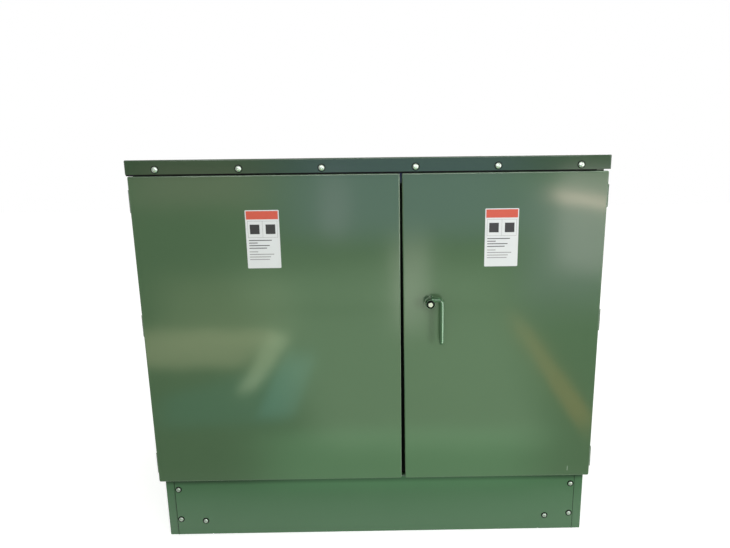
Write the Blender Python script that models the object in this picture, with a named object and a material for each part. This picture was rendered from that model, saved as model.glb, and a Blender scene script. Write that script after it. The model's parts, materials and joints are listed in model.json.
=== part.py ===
"""Three-phase pad-mounted power transformer with a two-door terminal cabinet.

Metres, +Z up. The doors face -Y, and the origin is on the pad, under the middle of the whole unit.
Pieces are drawn from the plane of the doors' outer face, y = 0, and carried back by the parent empty.
"""

import math

import bmesh
import bpy
from mathutils import Matrix, Vector

# Sheet metal and the gaps between pieces
SHEET = 0.003
FOLD_RADIUS = 0.0015
SEAT_GAP = 0.0003
FOLD_STEPS = 3
SMOOTH_ANGLE = math.radians(35)
WELD_SINK = 0.004
EASE = 0.004
CORNER_LEAST = 0.0006

# Doors: a folded pan each, with a return lip round the back
DOOR_SPAN = 1.7685
DOOR_TALL = 1.2366
DOOR_DEEP = 0.032
DOOR_LIP = 0.022
DOOR_CORNER = 0.005
DOOR_FOOT = 0.2745
SEAM_X = 0.1180
SEAM_GAP = 0.0116
SEAM_FLARE = 0.0064
SEAM_LEAN = 0.0020
STIFFENER_WIDE = 0.090
STIFFENER_DEEP = 0.018
STIFFENER_FOOT = 0.022
STIFFENER_MARGIN = 0.060

# Cabinet walls, sill and header
WALL_INSET = 0.0065
CABINET_DEEP = 0.457
STOP_GAP = 0.0055
FRONT_FLANGE = 0.080
REAR_FLANGE = 0.035
FOOT_TAB_REACH = 0.180
FOOT_TAB_TALL = 0.110
SILL_SETBACK = 0.03875
SILL_DOOR_GAP = 0.009
SILL_RETURN = 0.028
SILL_RETURN_GAP = 0.006
HEADER_DOOR_GAP = 0.009
HEADER_STOP = 0.045
HEADER_FLANGE = 0.030
BARRIER_SETBACK = 0.008
BARRIER_RETURN = 0.022
BARRIER_LIFT = 0.004

# Hood: a tray with turned-down lips, its top falling to the rear
HOOD_LIP = 0.0519
HOOD_DOOR_GAP = 0.0064
HOOD_AHEAD = 0.012
HOOD_SIDE_GAP = 0.0053
HOOD_REAR_GAP = 0.022
HOOD_CORNER = 0.006
HOOD_FALL = math.radians(1.5)

# Tank
TANK_INSET = 0.06775
TANK_DEEP = 0.620
TANK_TOP = 1.450
TANK_CORNER = 0.030
TANK_CORNER_STEPS = 4
RIM_OUT = 0.035
RIM_THICK = 0.008
RIM_SETBACK = 0.002
COVER_THICK = 0.008
PLATE_THICK = 0.008
HANDHOLE_RADIUS = 0.170
HANDHOLE_THICK = 0.010
HANDHOLE_RING = 0.016
HANDHOLE_SIDES = 28
STIFF_WIDE = 0.070
STIFF_OUT = 0.026
STIFF_INSET = 0.190
STIFF_FOOT = 0.070
STIFF_HEAD = 0.090
LUG_THICK = 0.016
LUG_OUT = 0.070
LUG_TALL = 0.120
LUG_DROP = 0.050
LUG_INSET = 0.090
LUG_EYE_RADIUS = 0.017
LUG_EYE_SIDES = 16
PAD_LONG = 0.110
PAD_OUT = 0.060
PAD_THICK = 0.018
PAD_INSET = 0.060

# Base rails, two channels across the tank
RAIL_TALL = 0.100
RAIL_DEEP = 0.050
RAIL_THICK = 0.007
RAIL_INSET = 0.040
RAIL_SHORT = 0.015

# Radiators: banks of fluted panels on an upper and a lower header tube
BANK_COUNT = 3
BANK_MARGIN = 0.100
PANEL_COUNT = 6
PANEL_PITCH = 0.052
PANEL_DEEP = 0.280
PANEL_TALL = 1.080
PANEL_FOOT = 0.240
PANEL_STANDOFF = 0.075
PANEL_EDGE_THICK = 0.003
PANEL_LAND_THICK = 0.004
PANEL_FLUTE_THICK = 0.012
PANEL_MARGIN = 0.014
FLUTE_COUNT = 4
FLUTE_LAND = 0.014
FLUTE_SLOPE = 0.010
HEADER_TUBE_RADIUS = 0.030
HEADER_TUBE_INSET = 0.075
HEADER_TUBE_END = 0.018
PIPE_RADIUS = 0.027
PIPE_FLANGE_RADIUS = 0.062
PIPE_FLANGE_THICK = 0.014
TUBE_SIDES = 10

# Hinges: two knuckles on a fixed pin, three a side
HINGE_FROM_HEAD = 0.0931
HINGE_FROM_FOOT = 0.0680
HINGE_MIDDLE = 0.9325
HINGE_LONG = 0.086
HINGE_RADIUS = 0.0078
HINGE_OUT = 0.0086
HINGE_BEHIND = 0.004
HINGE_PIN_RADIUS = 0.0040
HINGE_PIN_GAP = 0.0004
HINGE_KNUCKLE_GAP = 0.0010
HINGE_PIN_SHORT = 0.006
HINGE_SIDES = 12
LEAF_DOOR_THICK = 0.0035
LEAF_WALL_THICK = 0.010
LEAF_DOOR_REACH = 0.028
LEAF_WALL_REACH = 0.040
LEAF_WALL_GAP = 0.002

# Latch on the right door: fixed collar, turning sleeve with a bent lever, pentagon bolt and inner cam
HUB_FROM_SEAM = 0.1068
HUB_HEIGHT = 1.0227
COLLAR_RADIUS = 0.0240
COLLAR_LONG = 0.023
SLEEVE_RADIUS = 0.0175
SLEEVE_GAP = 0.0008
SLEEVE_LONG = 0.041
SLEEVE_BORE_RADIUS = 0.0155
SLEEVE_BORE_DEEP = 0.022
SHAFT_RADIUS = 0.010
SHAFT_GAP = 0.001
SHAFT_INSIDE = 0.020
ROD_RADIUS = 0.0088
LEVER_OUT = 0.033
LEVER_START = 0.004
LEVER_OFFSET = 0.0432
LEVER_RISE = 0.0160
LEVER_DROP = 0.1615
LEVER_BEND = 0.016
LEVER_BEND_STEPS = 6
LEVER_TIP_SHARES = (0.0, 0.6, 0.92)
ROD_SIDES = 12
BOLT_HEAD_RADIUS = 0.0115
BOLT_FLANGE_RADIUS = 0.0125
BOLT_FLANGE_THICK = 0.003
BOLT_LONG = 0.0267
BOLT_CHAMFER = 0.0015
BOLT_SIDES = 5
CAM_THICK = 0.005
CAM_WIDE = 0.034
CAM_REACH = 0.078
CAM_SETBACK = 0.008
CAM_STEPS = 6
LATCH_SIDES = 24

# High-voltage bushings: flange, collar, neck and tapered nose
HV_COUNT = 3
HV_HEIGHT = 0.930
HV_FROM_WALL = 0.200
HV_FROM_BARRIER = 0.270
HV_FLANGE_RADIUS = 0.058
HV_FLANGE_THICK = 0.012
HV_COLLAR_RADIUS = 0.045
HV_COLLAR_OUT = 0.048
HV_NECK_RADIUS = 0.036
HV_NECK_OUT = 0.078
HV_NOSE_RADIUS = 0.027
HV_TIP_RADIUS = 0.015
HV_TIP_CHAMFER = 0.006
HV_OUT = 0.206

# Low-voltage bushings: flange, two sheds, body, nut and stud
LV_COUNT = 4
LV_HEIGHT = 1.020
LV_FROM_WALL = 0.125
LV_FROM_BARRIER = 0.130
LV_FLANGE_RADIUS = 0.046
LV_FLANGE_THICK = 0.014
LV_BODY_RADIUS = 0.030
LV_SHED_COUNT = 2
LV_SHED_RADIUS = 0.042
LV_SHED_PITCH = 0.024
LV_BODY_OUT = 0.086
LV_NUT_RADIUS = 0.021
LV_NUT_THICK = 0.013
LV_STUD_RADIUS = 0.0127
LV_STUD_OUT = 0.165

# Gauges, tap changer and drain valve
FITTING_SIDES = 14
GAUGE_SIDES = 20
GAUGE_HEIGHT = 1.330
GAUGE_RADIUS = 0.048
GAUGE_STEM_RADIUS = 0.028
GAUGE_DEEP = 0.040
GAUGE_STEM_OUT = 0.020
GAUGE_BEZEL = 0.006
GAUGE_RECESS = 0.004
GAUGE_PITCH = 0.170
GAUGE_FROM_WALL = 0.200
TAP_HEIGHT = 1.290
TAP_FROM_SEAM = 0.190
TAP_FLANGE_RADIUS = 0.042
TAP_FLANGE_THICK = 0.016
TAP_BOSS_RADIUS = 0.030
TAP_BOSS_OUT = 0.036
TAP_GRIP_WIDE = 0.022
TAP_GRIP_UP = 0.050
TAP_GRIP_DOWN = 0.040
TAP_GRIP_OUT = 0.062
VALVE_HEIGHT = 0.210
VALVE_FROM_WALL = 0.120
VALVE_FLANGE_RADIUS = 0.030
VALVE_FLANGE_THICK = 0.010
VALVE_PIPE_RADIUS = 0.016
VALVE_PIPE_OUT = 0.030
VALVE_BODY_RADIUS = 0.026
VALVE_BODY_OUT = 0.086
VALVE_PLUG_RADIUS = 0.022
VALVE_PLUG_START = 0.110
VALVE_OUT = 0.130
VALVE_BONNET_RADIUS = 0.016
VALVE_BONNET_RISE = 0.050
VALVE_STEM_RADIUS = 0.006
VALVE_WHEEL_RISE = 0.078
VALVE_WHEEL_RADIUS = 0.034
VALVE_WHEEL_THICK = 0.010

# Places worked out from the sizes above
HALF_SPAN = DOOR_SPAN / 2
DOOR_HEAD = DOOR_FOOT + DOOR_TALL
WALL_X = HALF_SPAN - WALL_INSET
STOP_Y = DOOR_DEEP + STOP_GAP
FRAME_Y = STOP_Y + SHEET + SEAT_GAP
PLATE_Y = FRAME_Y + CABINET_DEEP
TANK_Y = PLATE_Y + PLATE_THICK + SEAT_GAP
TANK_REAR_Y = TANK_Y + TANK_DEEP
TANK_FOOT = RAIL_TALL + SEAT_GAP
TANK_HALF = WALL_X - TANK_INSET
PANEL_Y = TANK_REAR_Y + PANEL_STANDOFF
REAR_Y = PANEL_Y + PANEL_DEEP
BANK_HALF = PANEL_PITCH * (PANEL_COUNT - 1) / 2 + HEADER_TUBE_END
BANK_PITCH = 2 * (TANK_HALF - BANK_MARGIN - BANK_HALF) / (BANK_COUNT - 1)
SILL_HALF = WALL_X - SILL_SETBACK
SILL_TOP = DOOR_FOOT - SILL_DOOR_GAP
HOOD_FOOT = DOOR_HEAD + HOOD_DOOR_GAP
HOOD_TOP = HOOD_FOOT + HOOD_LIP
HOOD_HALF = WALL_X + HOOD_SIDE_GAP + SHEET
HOOD_REAR_Y = PLATE_Y + PLATE_THICK + HOOD_REAR_GAP + SHEET
HINGE_TOP = DOOR_HEAD - HINGE_FROM_HEAD
HINGE_BOTTOM = DOOR_FOOT + HINGE_FROM_FOOT
HINGE_X = HALF_SPAN + HINGE_OUT
HINGE_Y = DOOR_DEEP + HINGE_BEHIND
HUB_X = SEAM_X + HUB_FROM_SEAM
HUB = (HUB_X, HUB_HEIGHT)
BOLT_Y = SLEEVE_BORE_DEEP - SLEEVE_LONG - SEAT_GAP
FRONT_Y = min(BOLT_Y - BOLT_LONG, -SLEEVE_LONG, -(LEVER_OUT + ROD_RADIUS))
MIDDLE_Y = (FRONT_Y + REAR_Y) / 2


def clear_scene():
    for thing in list(bpy.data.objects):
        bpy.data.objects.remove(thing, do_unlink=True)


def paint(name, colour, roughness, metallic=0.0):
    """A plain material: colour is linear red, green and blue."""
    made = bpy.data.materials.new(name)
    made.use_nodes = True
    shader = made.node_tree.nodes["Principled BSDF"]
    shader.inputs["Base Color"].default_value = (*colour, 1.0)
    shader.inputs["Roughness"].default_value = roughness
    shader.inputs["Metallic"].default_value = metallic
    return made


def empty(name, place, parent=None):
    made = bpy.data.objects.new(name, None)
    made.location = place
    made.parent = parent
    bpy.context.scene.collection.objects.link(made)
    return made


# Maps from a section's own u, v and its length w to x, y, z
def along_x(u, v, w):
    return Vector((w, u, v))


def along_y(u, v, w):
    return Vector((u, w, v))


def along_z(u, v, w):
    return Vector((u, v, w))


def loft(loops, closed=False):
    """A mesh through loops of equal length. Unless it closes on itself, its ends are capped."""
    shape = bmesh.new()
    rows = [[shape.verts.new(point) for point in loop] for loop in loops]
    pairs = list(zip(rows, rows[1:])) + ([(rows[-1], rows[0])] if closed else [])
    for low, high in pairs:
        for i in range(len(low)):
            j = (i + 1) % len(low)
            shape.faces.new((low[i], low[j], high[j], high[i]))
    if not closed:
        shape.faces.new(rows[0])
        shape.faces.new(rows[-1])
    bmesh.ops.recalc_face_normals(shape, faces=shape.faces)
    return shape


def prism(outline, low, high, place):
    """An outline of (u, v) points carried from low to high; either may be a function of u and v."""
    ends = [end if callable(end) else (lambda u, v, fixed=end: fixed) for end in (low, high)]
    return loft([[place(u, v, end(u, v)) for u, v in outline] for end in ends])


def rectangle(u0, u1, v0, v1):
    return [(u0, v0), (u1, v0), (u1, v1), (u0, v1)]


def block(x0, x1, y0, y1, z0, z1):
    return prism(rectangle(x0, x1, y0, y1), z0, z1, along_z)


def round_rectangle(u0, u1, v0, v1, radius, steps=2):
    """Corner arcs of a rectangle, anticlockwise from the low u, low v corner."""
    points = []
    for cu, cv, turn in ((u0, v0, 2), (u1, v0, 3), (u1, v1, 0), (u0, v1, 1)):
        centre_u = cu + (radius if cu == u0 else -radius)
        centre_v = cv + (radius if cv == v0 else -radius)
        for k in range(steps + 1):
            angle = math.pi / 2 * (turn + k / steps)
            points.append((centre_u + radius * math.cos(angle), centre_v + radius * math.sin(angle)))
    return points


def ring(radius, sides, centre):
    """Points of a circle round a centre in u and v."""
    turns = [2 * math.pi * k / sides for k in range(sides)]
    return [(centre[0] + radius * math.cos(a), centre[1] + radius * math.sin(a)) for a in turns]


def revolve(profile, sides, centre, place):
    """A turned solid: profile is (radius, distance along the axis), centre is the axis in u and v."""
    return loft([[place(u, v, along) for u, v in ring(radius, sides, centre)] for radius, along in profile])


def tube(outer, inner, low, high, sides, centre, place):
    corners = [(outer, low), (outer, high), (inner, high), (inner, low)]
    loops = [[place(u, v, along) for u, v in ring(radius, sides, centre)] for radius, along in corners]
    return loft(loops, closed=True)


def fold_lines(path, thickness, inside_radius):
    """Both faces of a folded sheet. path is one face with sharp corners; the sheet lies on its left."""
    face, back = [], []
    points = [Vector(p) for p in path]
    for i, here in enumerate(points):
        if i in (0, len(points) - 1):
            along = (points[1] - here if i == 0 else here - points[-2]).normalized()
            face.append(here)
            back.append(here + Vector((-along.y, along.x)) * thickness)
            continue
        came = (here - points[i - 1]).normalized()
        goes = (points[i + 1] - here).normalized()
        turn = math.atan2(came.x * goes.y - came.y * goes.x, came.dot(goes))
        side = 1 if turn > 0 else -1
        face_radius = inside_radius + (thickness if turn > 0 else 0)
        back_radius = inside_radius + (0 if turn > 0 else thickness)
        inward = Vector((-came.y, came.x)) * side
        centre = here - came * face_radius * math.tan(abs(turn) / 2) + inward * face_radius
        for k in range(FOLD_STEPS + 1):
            spoke = Matrix.Rotation(turn * k / FOLD_STEPS, 2) @ -inward
            face.append(centre + spoke * face_radius)
            back.append(centre + spoke * back_radius)
    return face, back


def folded(path, low, high, place, thickness=SHEET, radius=FOLD_RADIUS):
    face, back = fold_lines(path, thickness, radius)
    return prism(face + back[::-1], low, high, place)


def tabbed_channel(path, half, return_half, place):
    """A sheet folded twice, whose two returns are notched shorter than its web at both ends."""
    face, back = fold_lines(path, SHEET, FOLD_RADIUS)
    count = len(face)
    first, last = FOLD_STEPS + 1, count - FOLD_STEPS - 2
    shape = bmesh.new()

    def row(points, length):
        return [shape.verts.new(place(p.x, p.y, length)) for p in points]

    rows = {w: (row(face, w), row(back, w)) for w in (-return_half, return_half)}
    (low_face, low_back), (high_face, high_back) = rows[-return_half], rows[return_half]
    low_loop, high_loop = low_face + low_back[::-1], high_face + high_back[::-1]
    for i in range(len(low_loop)):
        j = (i + 1) % len(low_loop)
        shape.faces.new((low_loop[i], low_loop[j], high_loop[j], high_loop[i]))
    for side, end in ((-1, (low_face, low_back)), (1, (high_face, high_back))):
        end_face, end_back = end
        shape.faces.new(end_face[: first + 1] + end_back[: first + 1][::-1])
        shape.faces.new(end_face[last:] + end_back[last:][::-1])
        web = [end_face[first], end_face[last], end_back[last], end_back[first]]
        tip = row([face[first], face[last], back[last], back[first]], side * half)
        for i in range(len(web)):
            j = (i + 1) % len(web)
            shape.faces.new((web[i], web[j], tip[j], tip[i]))
        shape.faces.new(tip)
    bmesh.ops.recalc_face_normals(shape, faces=shape.faces)
    return shape


def rod(points, radius, bend, y, sides):
    """A round bar bent in an x, z plane at depth y, with a rounded free end."""
    line = [Vector(p) for p in points]
    stops = [(line[0], (line[1] - line[0]).normalized(), 1.0)]
    for before, here, after in zip(line, line[1:], line[2:]):
        came, goes = (here - before).normalized(), (after - here).normalized()
        turn = math.atan2(came.x * goes.y - came.y * goes.x, came.dot(goes))
        inward = Vector((-came.y, came.x)) * (1 if turn > 0 else -1)
        centre = here - came * bend * math.tan(abs(turn) / 2) + inward * bend
        for k in range(LEVER_BEND_STEPS + 1):
            swing = Matrix.Rotation(turn * k / LEVER_BEND_STEPS, 2)
            stops.append((centre + swing @ -inward * bend, swing @ came, 1.0))
    end, way = line[-1], (line[-1] - line[-2]).normalized()
    for share in LEVER_TIP_SHARES:
        stops.append((end - way * radius * (1 - share), way, math.sqrt(1 - share * share)))
    loops = []
    for spot, way, share in stops:
        across = Vector((-way.y, way.x))
        loop = []
        for k in range(sides):
            angle = 2 * math.pi * k / sides
            out = across * math.cos(angle) * radius * share
            loop.append(Vector((spot.x + out.x, y + math.sin(angle) * radius * share, spot.y + out.y)))
        loops.append(loop)
    return loft(loops)


def flip(shape):
    """Mirrors a shape from right to left."""
    shape.transform(Matrix.Diagonal((-1, 1, 1, 1)))
    bmesh.ops.reverse_faces(shape, faces=shape.faces)
    return shape


def node(name, shape, material, parent=None):
    """Makes a named object of a shape drawn from the door plane, and hangs it on its empty."""
    mesh = bpy.data.meshes.new(name)
    shape.to_mesh(mesh)
    shape.free()
    made = bpy.data.objects.new(name, mesh)
    bpy.context.scene.collection.objects.link(made)
    mesh.materials.append(material)
    if parent:
        seat(made, parent)
    return made


def seat(made, parent):
    """Parents an object and moves its mesh so that the object's own origin is the parent's."""
    pivot = parent.location if parent.parent else Vector()
    made.data.transform(Matrix.Translation(-pivot))
    made.parent = parent
    made.data.shade_smooth()
    made.data.set_sharp_from_angle(angle=SMOOTH_ANGLE)


def combine(base, shapes, operation, parent):
    """Joins or cuts base with each bmesh in turn, and leaves one plain mesh on its empty."""
    helpers = []
    for i, shape in enumerate(shapes):
        helper = node(f"{base.name}_helper_{i}", shape, base.data.materials[0])
        helpers.append(helper)
        step = base.modifiers.new(f"{operation}_{i}", "BOOLEAN")
        step.operation = operation
        step.solver = "EXACT"
        step.object = helper
    bpy.context.view_layer.update()
    graph = bpy.context.evaluated_depsgraph_get()
    mesh = bpy.data.meshes.new_from_object(base.evaluated_get(graph))
    base.modifiers.clear()
    base.data = mesh
    for helper in helpers:
        bpy.data.objects.remove(helper, do_unlink=True)
    if parent:
        seat(base, parent)
    return base


def hood_top(y):
    """Height of the hood's upper face at a depth y."""
    return HOOD_TOP - (y + HOOD_AHEAD) * math.tan(HOOD_FALL)


def hood_under(y):
    return hood_top(y) - SHEET - SEAT_GAP


def flared(u, v, free_x):
    """Moves the points by a door's free edge so that the seam widens and leans from head to foot."""
    if abs(u - free_x) > abs(HALF_SPAN - abs(free_x)) / 2:
        return u
    share = 0.5 - (v - DOOR_FOOT) / DOOR_TALL
    side = 1 if free_x > SEAM_X else -1
    return u + (SEAM_LEAN + side * SEAM_FLARE / 2) * share


def door_pan(hinge_x, free_x):
    """Door sheet folded back round all four edges, with a return lip behind."""
    low_x, high_x = sorted((hinge_x, free_x))
    bend = FOLD_RADIUS + SHEET
    quarter = [math.pi / 2 * k / FOLD_STEPS for k in range(FOLD_STEPS + 1)]
    section = [(bend - bend * math.sin(a), bend - bend * math.cos(a)) for a in quarter]
    section += [(bend - bend * math.cos(a), DOOR_DEEP - bend + bend * math.sin(a)) for a in quarter]
    section += [(DOOR_LIP, DOOR_DEEP), (DOOR_LIP, DOOR_DEEP - SHEET)]
    inner = [(bend - FOLD_RADIUS * math.cos(a), FOLD_RADIUS * math.sin(a)) for a in quarter]
    section += [(inset, DOOR_DEEP - bend + rise) for inset, rise in inner[::-1]]
    section += [(inset, bend - rise) for inset, rise in inner]
    loops = []
    for inset, depth in section:
        radius = max(DOOR_CORNER - inset, CORNER_LEAST)
        edge = round_rectangle(low_x + inset, high_x - inset, DOOR_FOOT + inset, DOOR_HEAD - inset, radius)
        loops.append([along_y(flared(u, v, free_x), v, depth) for u, v in edge])
    return loft(loops)


def door_stiffener(centre_x):
    """Upright hat section on the inner face of a door."""
    inner = SHEET + SEAT_GAP
    half, foot = STIFFENER_WIDE / 2, STIFFENER_FOOT
    path = [
        (centre_x + half, inner),
        (centre_x + half - foot, inner),
        (centre_x + half - foot, inner + STIFFENER_DEEP),
        (centre_x - half + foot, inner + STIFFENER_DEEP),
        (centre_x - half + foot, inner),
        (centre_x - half, inner),
    ]
    face, back = fold_lines(path[::-1], SHEET, FOLD_RADIUS / 2)
    low, high = DOOR_FOOT + STIFFENER_MARGIN, DOOR_HEAD - STIFFENER_MARGIN
    return prism(face + back[::-1], low, high, along_z)


def side_wall():
    """Right wall of the cabinet: a sheet with a front flange, a rear flange and a foot tab."""
    path = [
        (WALL_X - FRONT_FLANGE, FRAME_Y),
        (WALL_X, FRAME_Y),
        (WALL_X, PLATE_Y - SEAT_GAP),
        (WALL_X - REAR_FLANGE, PLATE_Y - SEAT_GAP),
    ]
    return folded(path, 0, lambda x, y: hood_under(y), along_z)


def foot_tab():
    inner, outer = WALL_X - FOOT_TAB_REACH, WALL_X - FRONT_FLANGE + WELD_SINK
    return block(inner, outer, FRAME_Y, FRAME_Y + SHEET, 0, FOOT_TAB_TALL)


def front_sill():
    back = STOP_Y + SILL_RETURN
    path = [(back, SILL_TOP), (STOP_Y, SILL_TOP), (STOP_Y, 0), (back, 0)]
    return_half = WALL_X - FOOT_TAB_REACH - SILL_RETURN_GAP
    return tabbed_channel(path, SILL_HALF, return_half, along_x)


def door_header():
    """Z rail across the opening: hood flange up, web over the doors, stop flange down."""
    front = SHEET - HOOD_AHEAD + SEAT_GAP
    web = DOOR_HEAD + HEADER_DOOR_GAP
    path = [(front, web + HEADER_FLANGE), (front, web), (STOP_Y, web), (STOP_Y, web - HEADER_STOP)]
    return folded(path, -WALL_X, WALL_X, along_x)


def hood():
    """Folded tray, open below; the top sheet falls to the rear and the lips end level."""
    bend = FOLD_RADIUS + SHEET
    quarter = [math.pi / 2 * k / FOLD_STEPS for k in range(FOLD_STEPS + 1)]
    section = [(bend - bend * math.sin(a), bend - bend * math.cos(a)) for a in quarter]
    section += [(0, None), (SHEET, None)]
    section += [(bend - FOLD_RADIUS * math.cos(a), bend - FOLD_RADIUS * math.sin(a)) for a in quarter]
    loops = []
    for inset, drop in section:
        radius = max(HOOD_CORNER - inset, CORNER_LEAST)
        x = HOOD_HALF - inset
        edge = round_rectangle(-x, x, inset - HOOD_AHEAD, HOOD_REAR_Y - inset, radius)
        loops.append([Vector((u, v, HOOD_FOOT if drop is None else hood_top(v) - drop)) for u, v in edge])
    return loft(loops)


def barrier():
    """Sheet between the two compartments, flanged against the tank's front plate."""
    front = STOP_Y + SILL_RETURN + BARRIER_SETBACK
    rear = PLATE_Y - SEAT_GAP
    face_x = SEAM_X + SHEET / 2
    edge_x = face_x - BARRIER_RETURN
    path = [(edge_x, front), (face_x, front), (face_x, rear), (edge_x, rear)]
    return folded(path, BARRIER_LIFT, DOOR_HEAD, along_z)


def tank_loop(out, z):
    """Outline of the tank at a height, or of the rim that stands out round its sides and rear."""
    half = TANK_HALF + out
    front = TANK_Y + (RIM_SETBACK if out else 0)
    edge = round_rectangle(-half, half, front, TANK_REAR_Y + out, TANK_CORNER, TANK_CORNER_STEPS)
    return [Vector((u, v, z)) for u, v in edge]


def tank_shell():
    rim = TANK_TOP - RIM_THICK
    levels = [(0, TANK_FOOT), (0, rim), (RIM_OUT, rim), (RIM_OUT, TANK_TOP)]
    return loft([tank_loop(out, z) for out, z in levels])


def tank_extras():
    """Upright stiffeners and jacking pads, welded on both sides of the tank."""
    stiff_levels = (TANK_FOOT + STIFF_FOOT, TANK_TOP - STIFF_HEAD)
    pad_levels = (TANK_FOOT + PAD_THICK, TANK_FOOT + 2 * PAD_THICK)
    weld = TANK_HALF - WELD_SINK
    shapes = []
    for y in (TANK_Y + STIFF_INSET, TANK_REAR_Y - STIFF_INSET):
        half = STIFF_WIDE / 2
        shapes.append(block(weld, TANK_HALF + STIFF_OUT, y - half, y + half, *stiff_levels))
    for y in (TANK_Y + PAD_INSET + PAD_LONG / 2, TANK_REAR_Y - PAD_INSET - PAD_LONG / 2):
        half = PAD_LONG / 2
        shapes.append(block(weld, TANK_HALF + PAD_OUT, y - half, y + half, *pad_levels))
    return shapes + [flip(shape.copy()) for shape in shapes]


def lifting_lug(name, side, y, material, parent):
    """Plate standing out from the tank's side, sloped below, with a round eye for a shackle."""
    wall, out = TANK_HALF + SEAT_GAP, TANK_HALF + LUG_OUT
    top = TANK_TOP - RIM_THICK - LUG_DROP
    outline = [(wall, top - LUG_TALL), (out, top - LUG_OUT), (out, top - LUG_OUT / 4)]
    outline += [(out - LUG_OUT / 4, top), (wall, top)]
    plate = prism(outline, y - LUG_THICK / 2, y + LUG_THICK / 2, along_y)
    eye = (out - LUG_OUT / 2, top - LUG_OUT / 2)
    ends = [(LUG_EYE_RADIUS, y - LUG_THICK), (LUG_EYE_RADIUS, y + LUG_THICK)]
    drill = revolve(ends, LUG_EYE_SIDES, eye, along_y)
    if side < 0:
        flip(plate), flip(drill)
    return combine(node(name, plate, material), [drill], "DIFFERENCE", parent)


def tank_cover():
    low = TANK_TOP + SEAT_GAP
    return loft([tank_loop(RIM_OUT, low), tank_loop(RIM_OUT, low + COVER_THICK)])


def handhole_cover():
    foot = TANK_TOP + 2 * SEAT_GAP + COVER_THICK
    centre = (0, (TANK_Y + TANK_REAR_Y) / 2)
    neck = HANDHOLE_RADIUS - HANDHOLE_RING
    profile = [(neck, foot), (neck, foot + HANDHOLE_RING), (HANDHOLE_RADIUS, foot + HANDHOLE_RING)]
    profile += [(HANDHOLE_RADIUS, foot + HANDHOLE_RING + HANDHOLE_THICK)]
    return revolve(profile, HANDHOLE_SIDES, centre, along_z)


def base_rail(front):
    """Channel across the unit, its flanges pointing to the rear."""
    back = front + RAIL_DEEP
    path = [(back, RAIL_TALL), (front, RAIL_TALL), (front, 0), (back, 0)]
    half = TANK_HALF - RAIL_SHORT
    return folded(path, -half, half, along_x, RAIL_THICK, RAIL_THICK)


def panel_outline(x):
    """Plan of one radiator panel: two pressed sheets that swell into oil channels between flat lands."""
    start = PANEL_Y + PANEL_MARGIN
    pitch = (PANEL_DEEP - 2 * PANEL_MARGIN) / FLUTE_COUNT
    stations = [(PANEL_Y, PANEL_EDGE_THICK)]
    for k in range(FLUTE_COUNT):
        low, high = start + pitch * k + FLUTE_LAND / 2, start + pitch * (k + 1) - FLUTE_LAND / 2
        stations += [(low, PANEL_LAND_THICK), (low + FLUTE_SLOPE, PANEL_FLUTE_THICK)]
        stations += [(high - FLUTE_SLOPE, PANEL_FLUTE_THICK), (high, PANEL_LAND_THICK)]
    stations.append((REAR_Y, PANEL_EDGE_THICK))
    right = [(x + thick / 2, y) for y, thick in stations]
    return right + [(2 * x - u, v) for u, v in right[::-1]]


def radiator_bank(name, centre_x, material, parent):
    """Panels side by side on an upper and a lower tube, each tube on a flanged pipe from the tank."""
    first = centre_x - PANEL_PITCH * (PANEL_COUNT - 1) / 2
    shapes = []
    for k in range(PANEL_COUNT):
        outline = panel_outline(first + PANEL_PITCH * k)
        shapes.append(prism(outline, PANEL_FOOT, PANEL_FOOT + PANEL_TALL, along_z))
    tube_y = PANEL_Y + PANEL_MARGIN + (PANEL_DEEP - 2 * PANEL_MARGIN) / FLUTE_COUNT
    wall = TANK_REAR_Y + SEAT_GAP
    for z in (PANEL_FOOT + HEADER_TUBE_INSET, PANEL_FOOT + PANEL_TALL - HEADER_TUBE_INSET):
        ends = [(HEADER_TUBE_RADIUS, centre_x - BANK_HALF), (HEADER_TUBE_RADIUS, centre_x + BANK_HALF)]
        shapes.append(revolve(ends, TUBE_SIDES, (tube_y, z), along_x))
        pipe = [(PIPE_FLANGE_RADIUS, wall), (PIPE_FLANGE_RADIUS, wall + PIPE_FLANGE_THICK)]
        pipe += [(PIPE_RADIUS, wall + PIPE_FLANGE_THICK), (PIPE_RADIUS, tube_y)]
        shapes.append(revolve(pipe, TUBE_SIDES, (centre_x, z), along_y))
    bank = node(name, shapes[-1], material)
    return combine(bank, shapes[:-1], "UNION", parent)


def hinge_halves(height):
    """Lower knuckle with its pin and wall leaf, and upper knuckle with its door leaf, right side."""
    axis = (HINGE_X, HINGE_Y)
    low, high = height - HINGE_LONG / 2, height + HINGE_LONG / 2
    split = HINGE_KNUCKLE_GAP / 2
    lower = [(HINGE_RADIUS, low), (HINGE_RADIUS, height - split), (HINGE_PIN_RADIUS, height - split)]
    lower.append((HINGE_PIN_RADIUS, high - HINGE_PIN_SHORT))
    fixed = revolve(lower, HINGE_SIDES, axis, along_z)
    wall_face = WALL_X + SEAT_GAP
    wall_leaf = block(wall_face, wall_face + LEAF_WALL_THICK, HINGE_Y + LEAF_WALL_GAP,
                      HINGE_Y + LEAF_WALL_REACH, low + split, height - 2 * split)
    bore = HINGE_PIN_RADIUS + HINGE_PIN_GAP
    turning = tube(HINGE_RADIUS, bore, height + split, high, HINGE_SIDES, axis, along_z)
    door_face = HALF_SPAN + SEAT_GAP
    door_leaf = block(door_face, door_face + LEAF_DOOR_THICK, HINGE_Y - LEAF_DOOR_REACH,
                      HINGE_Y, height + 2 * split, high - split)
    return (fixed, wall_leaf), (turning, door_leaf)


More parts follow.
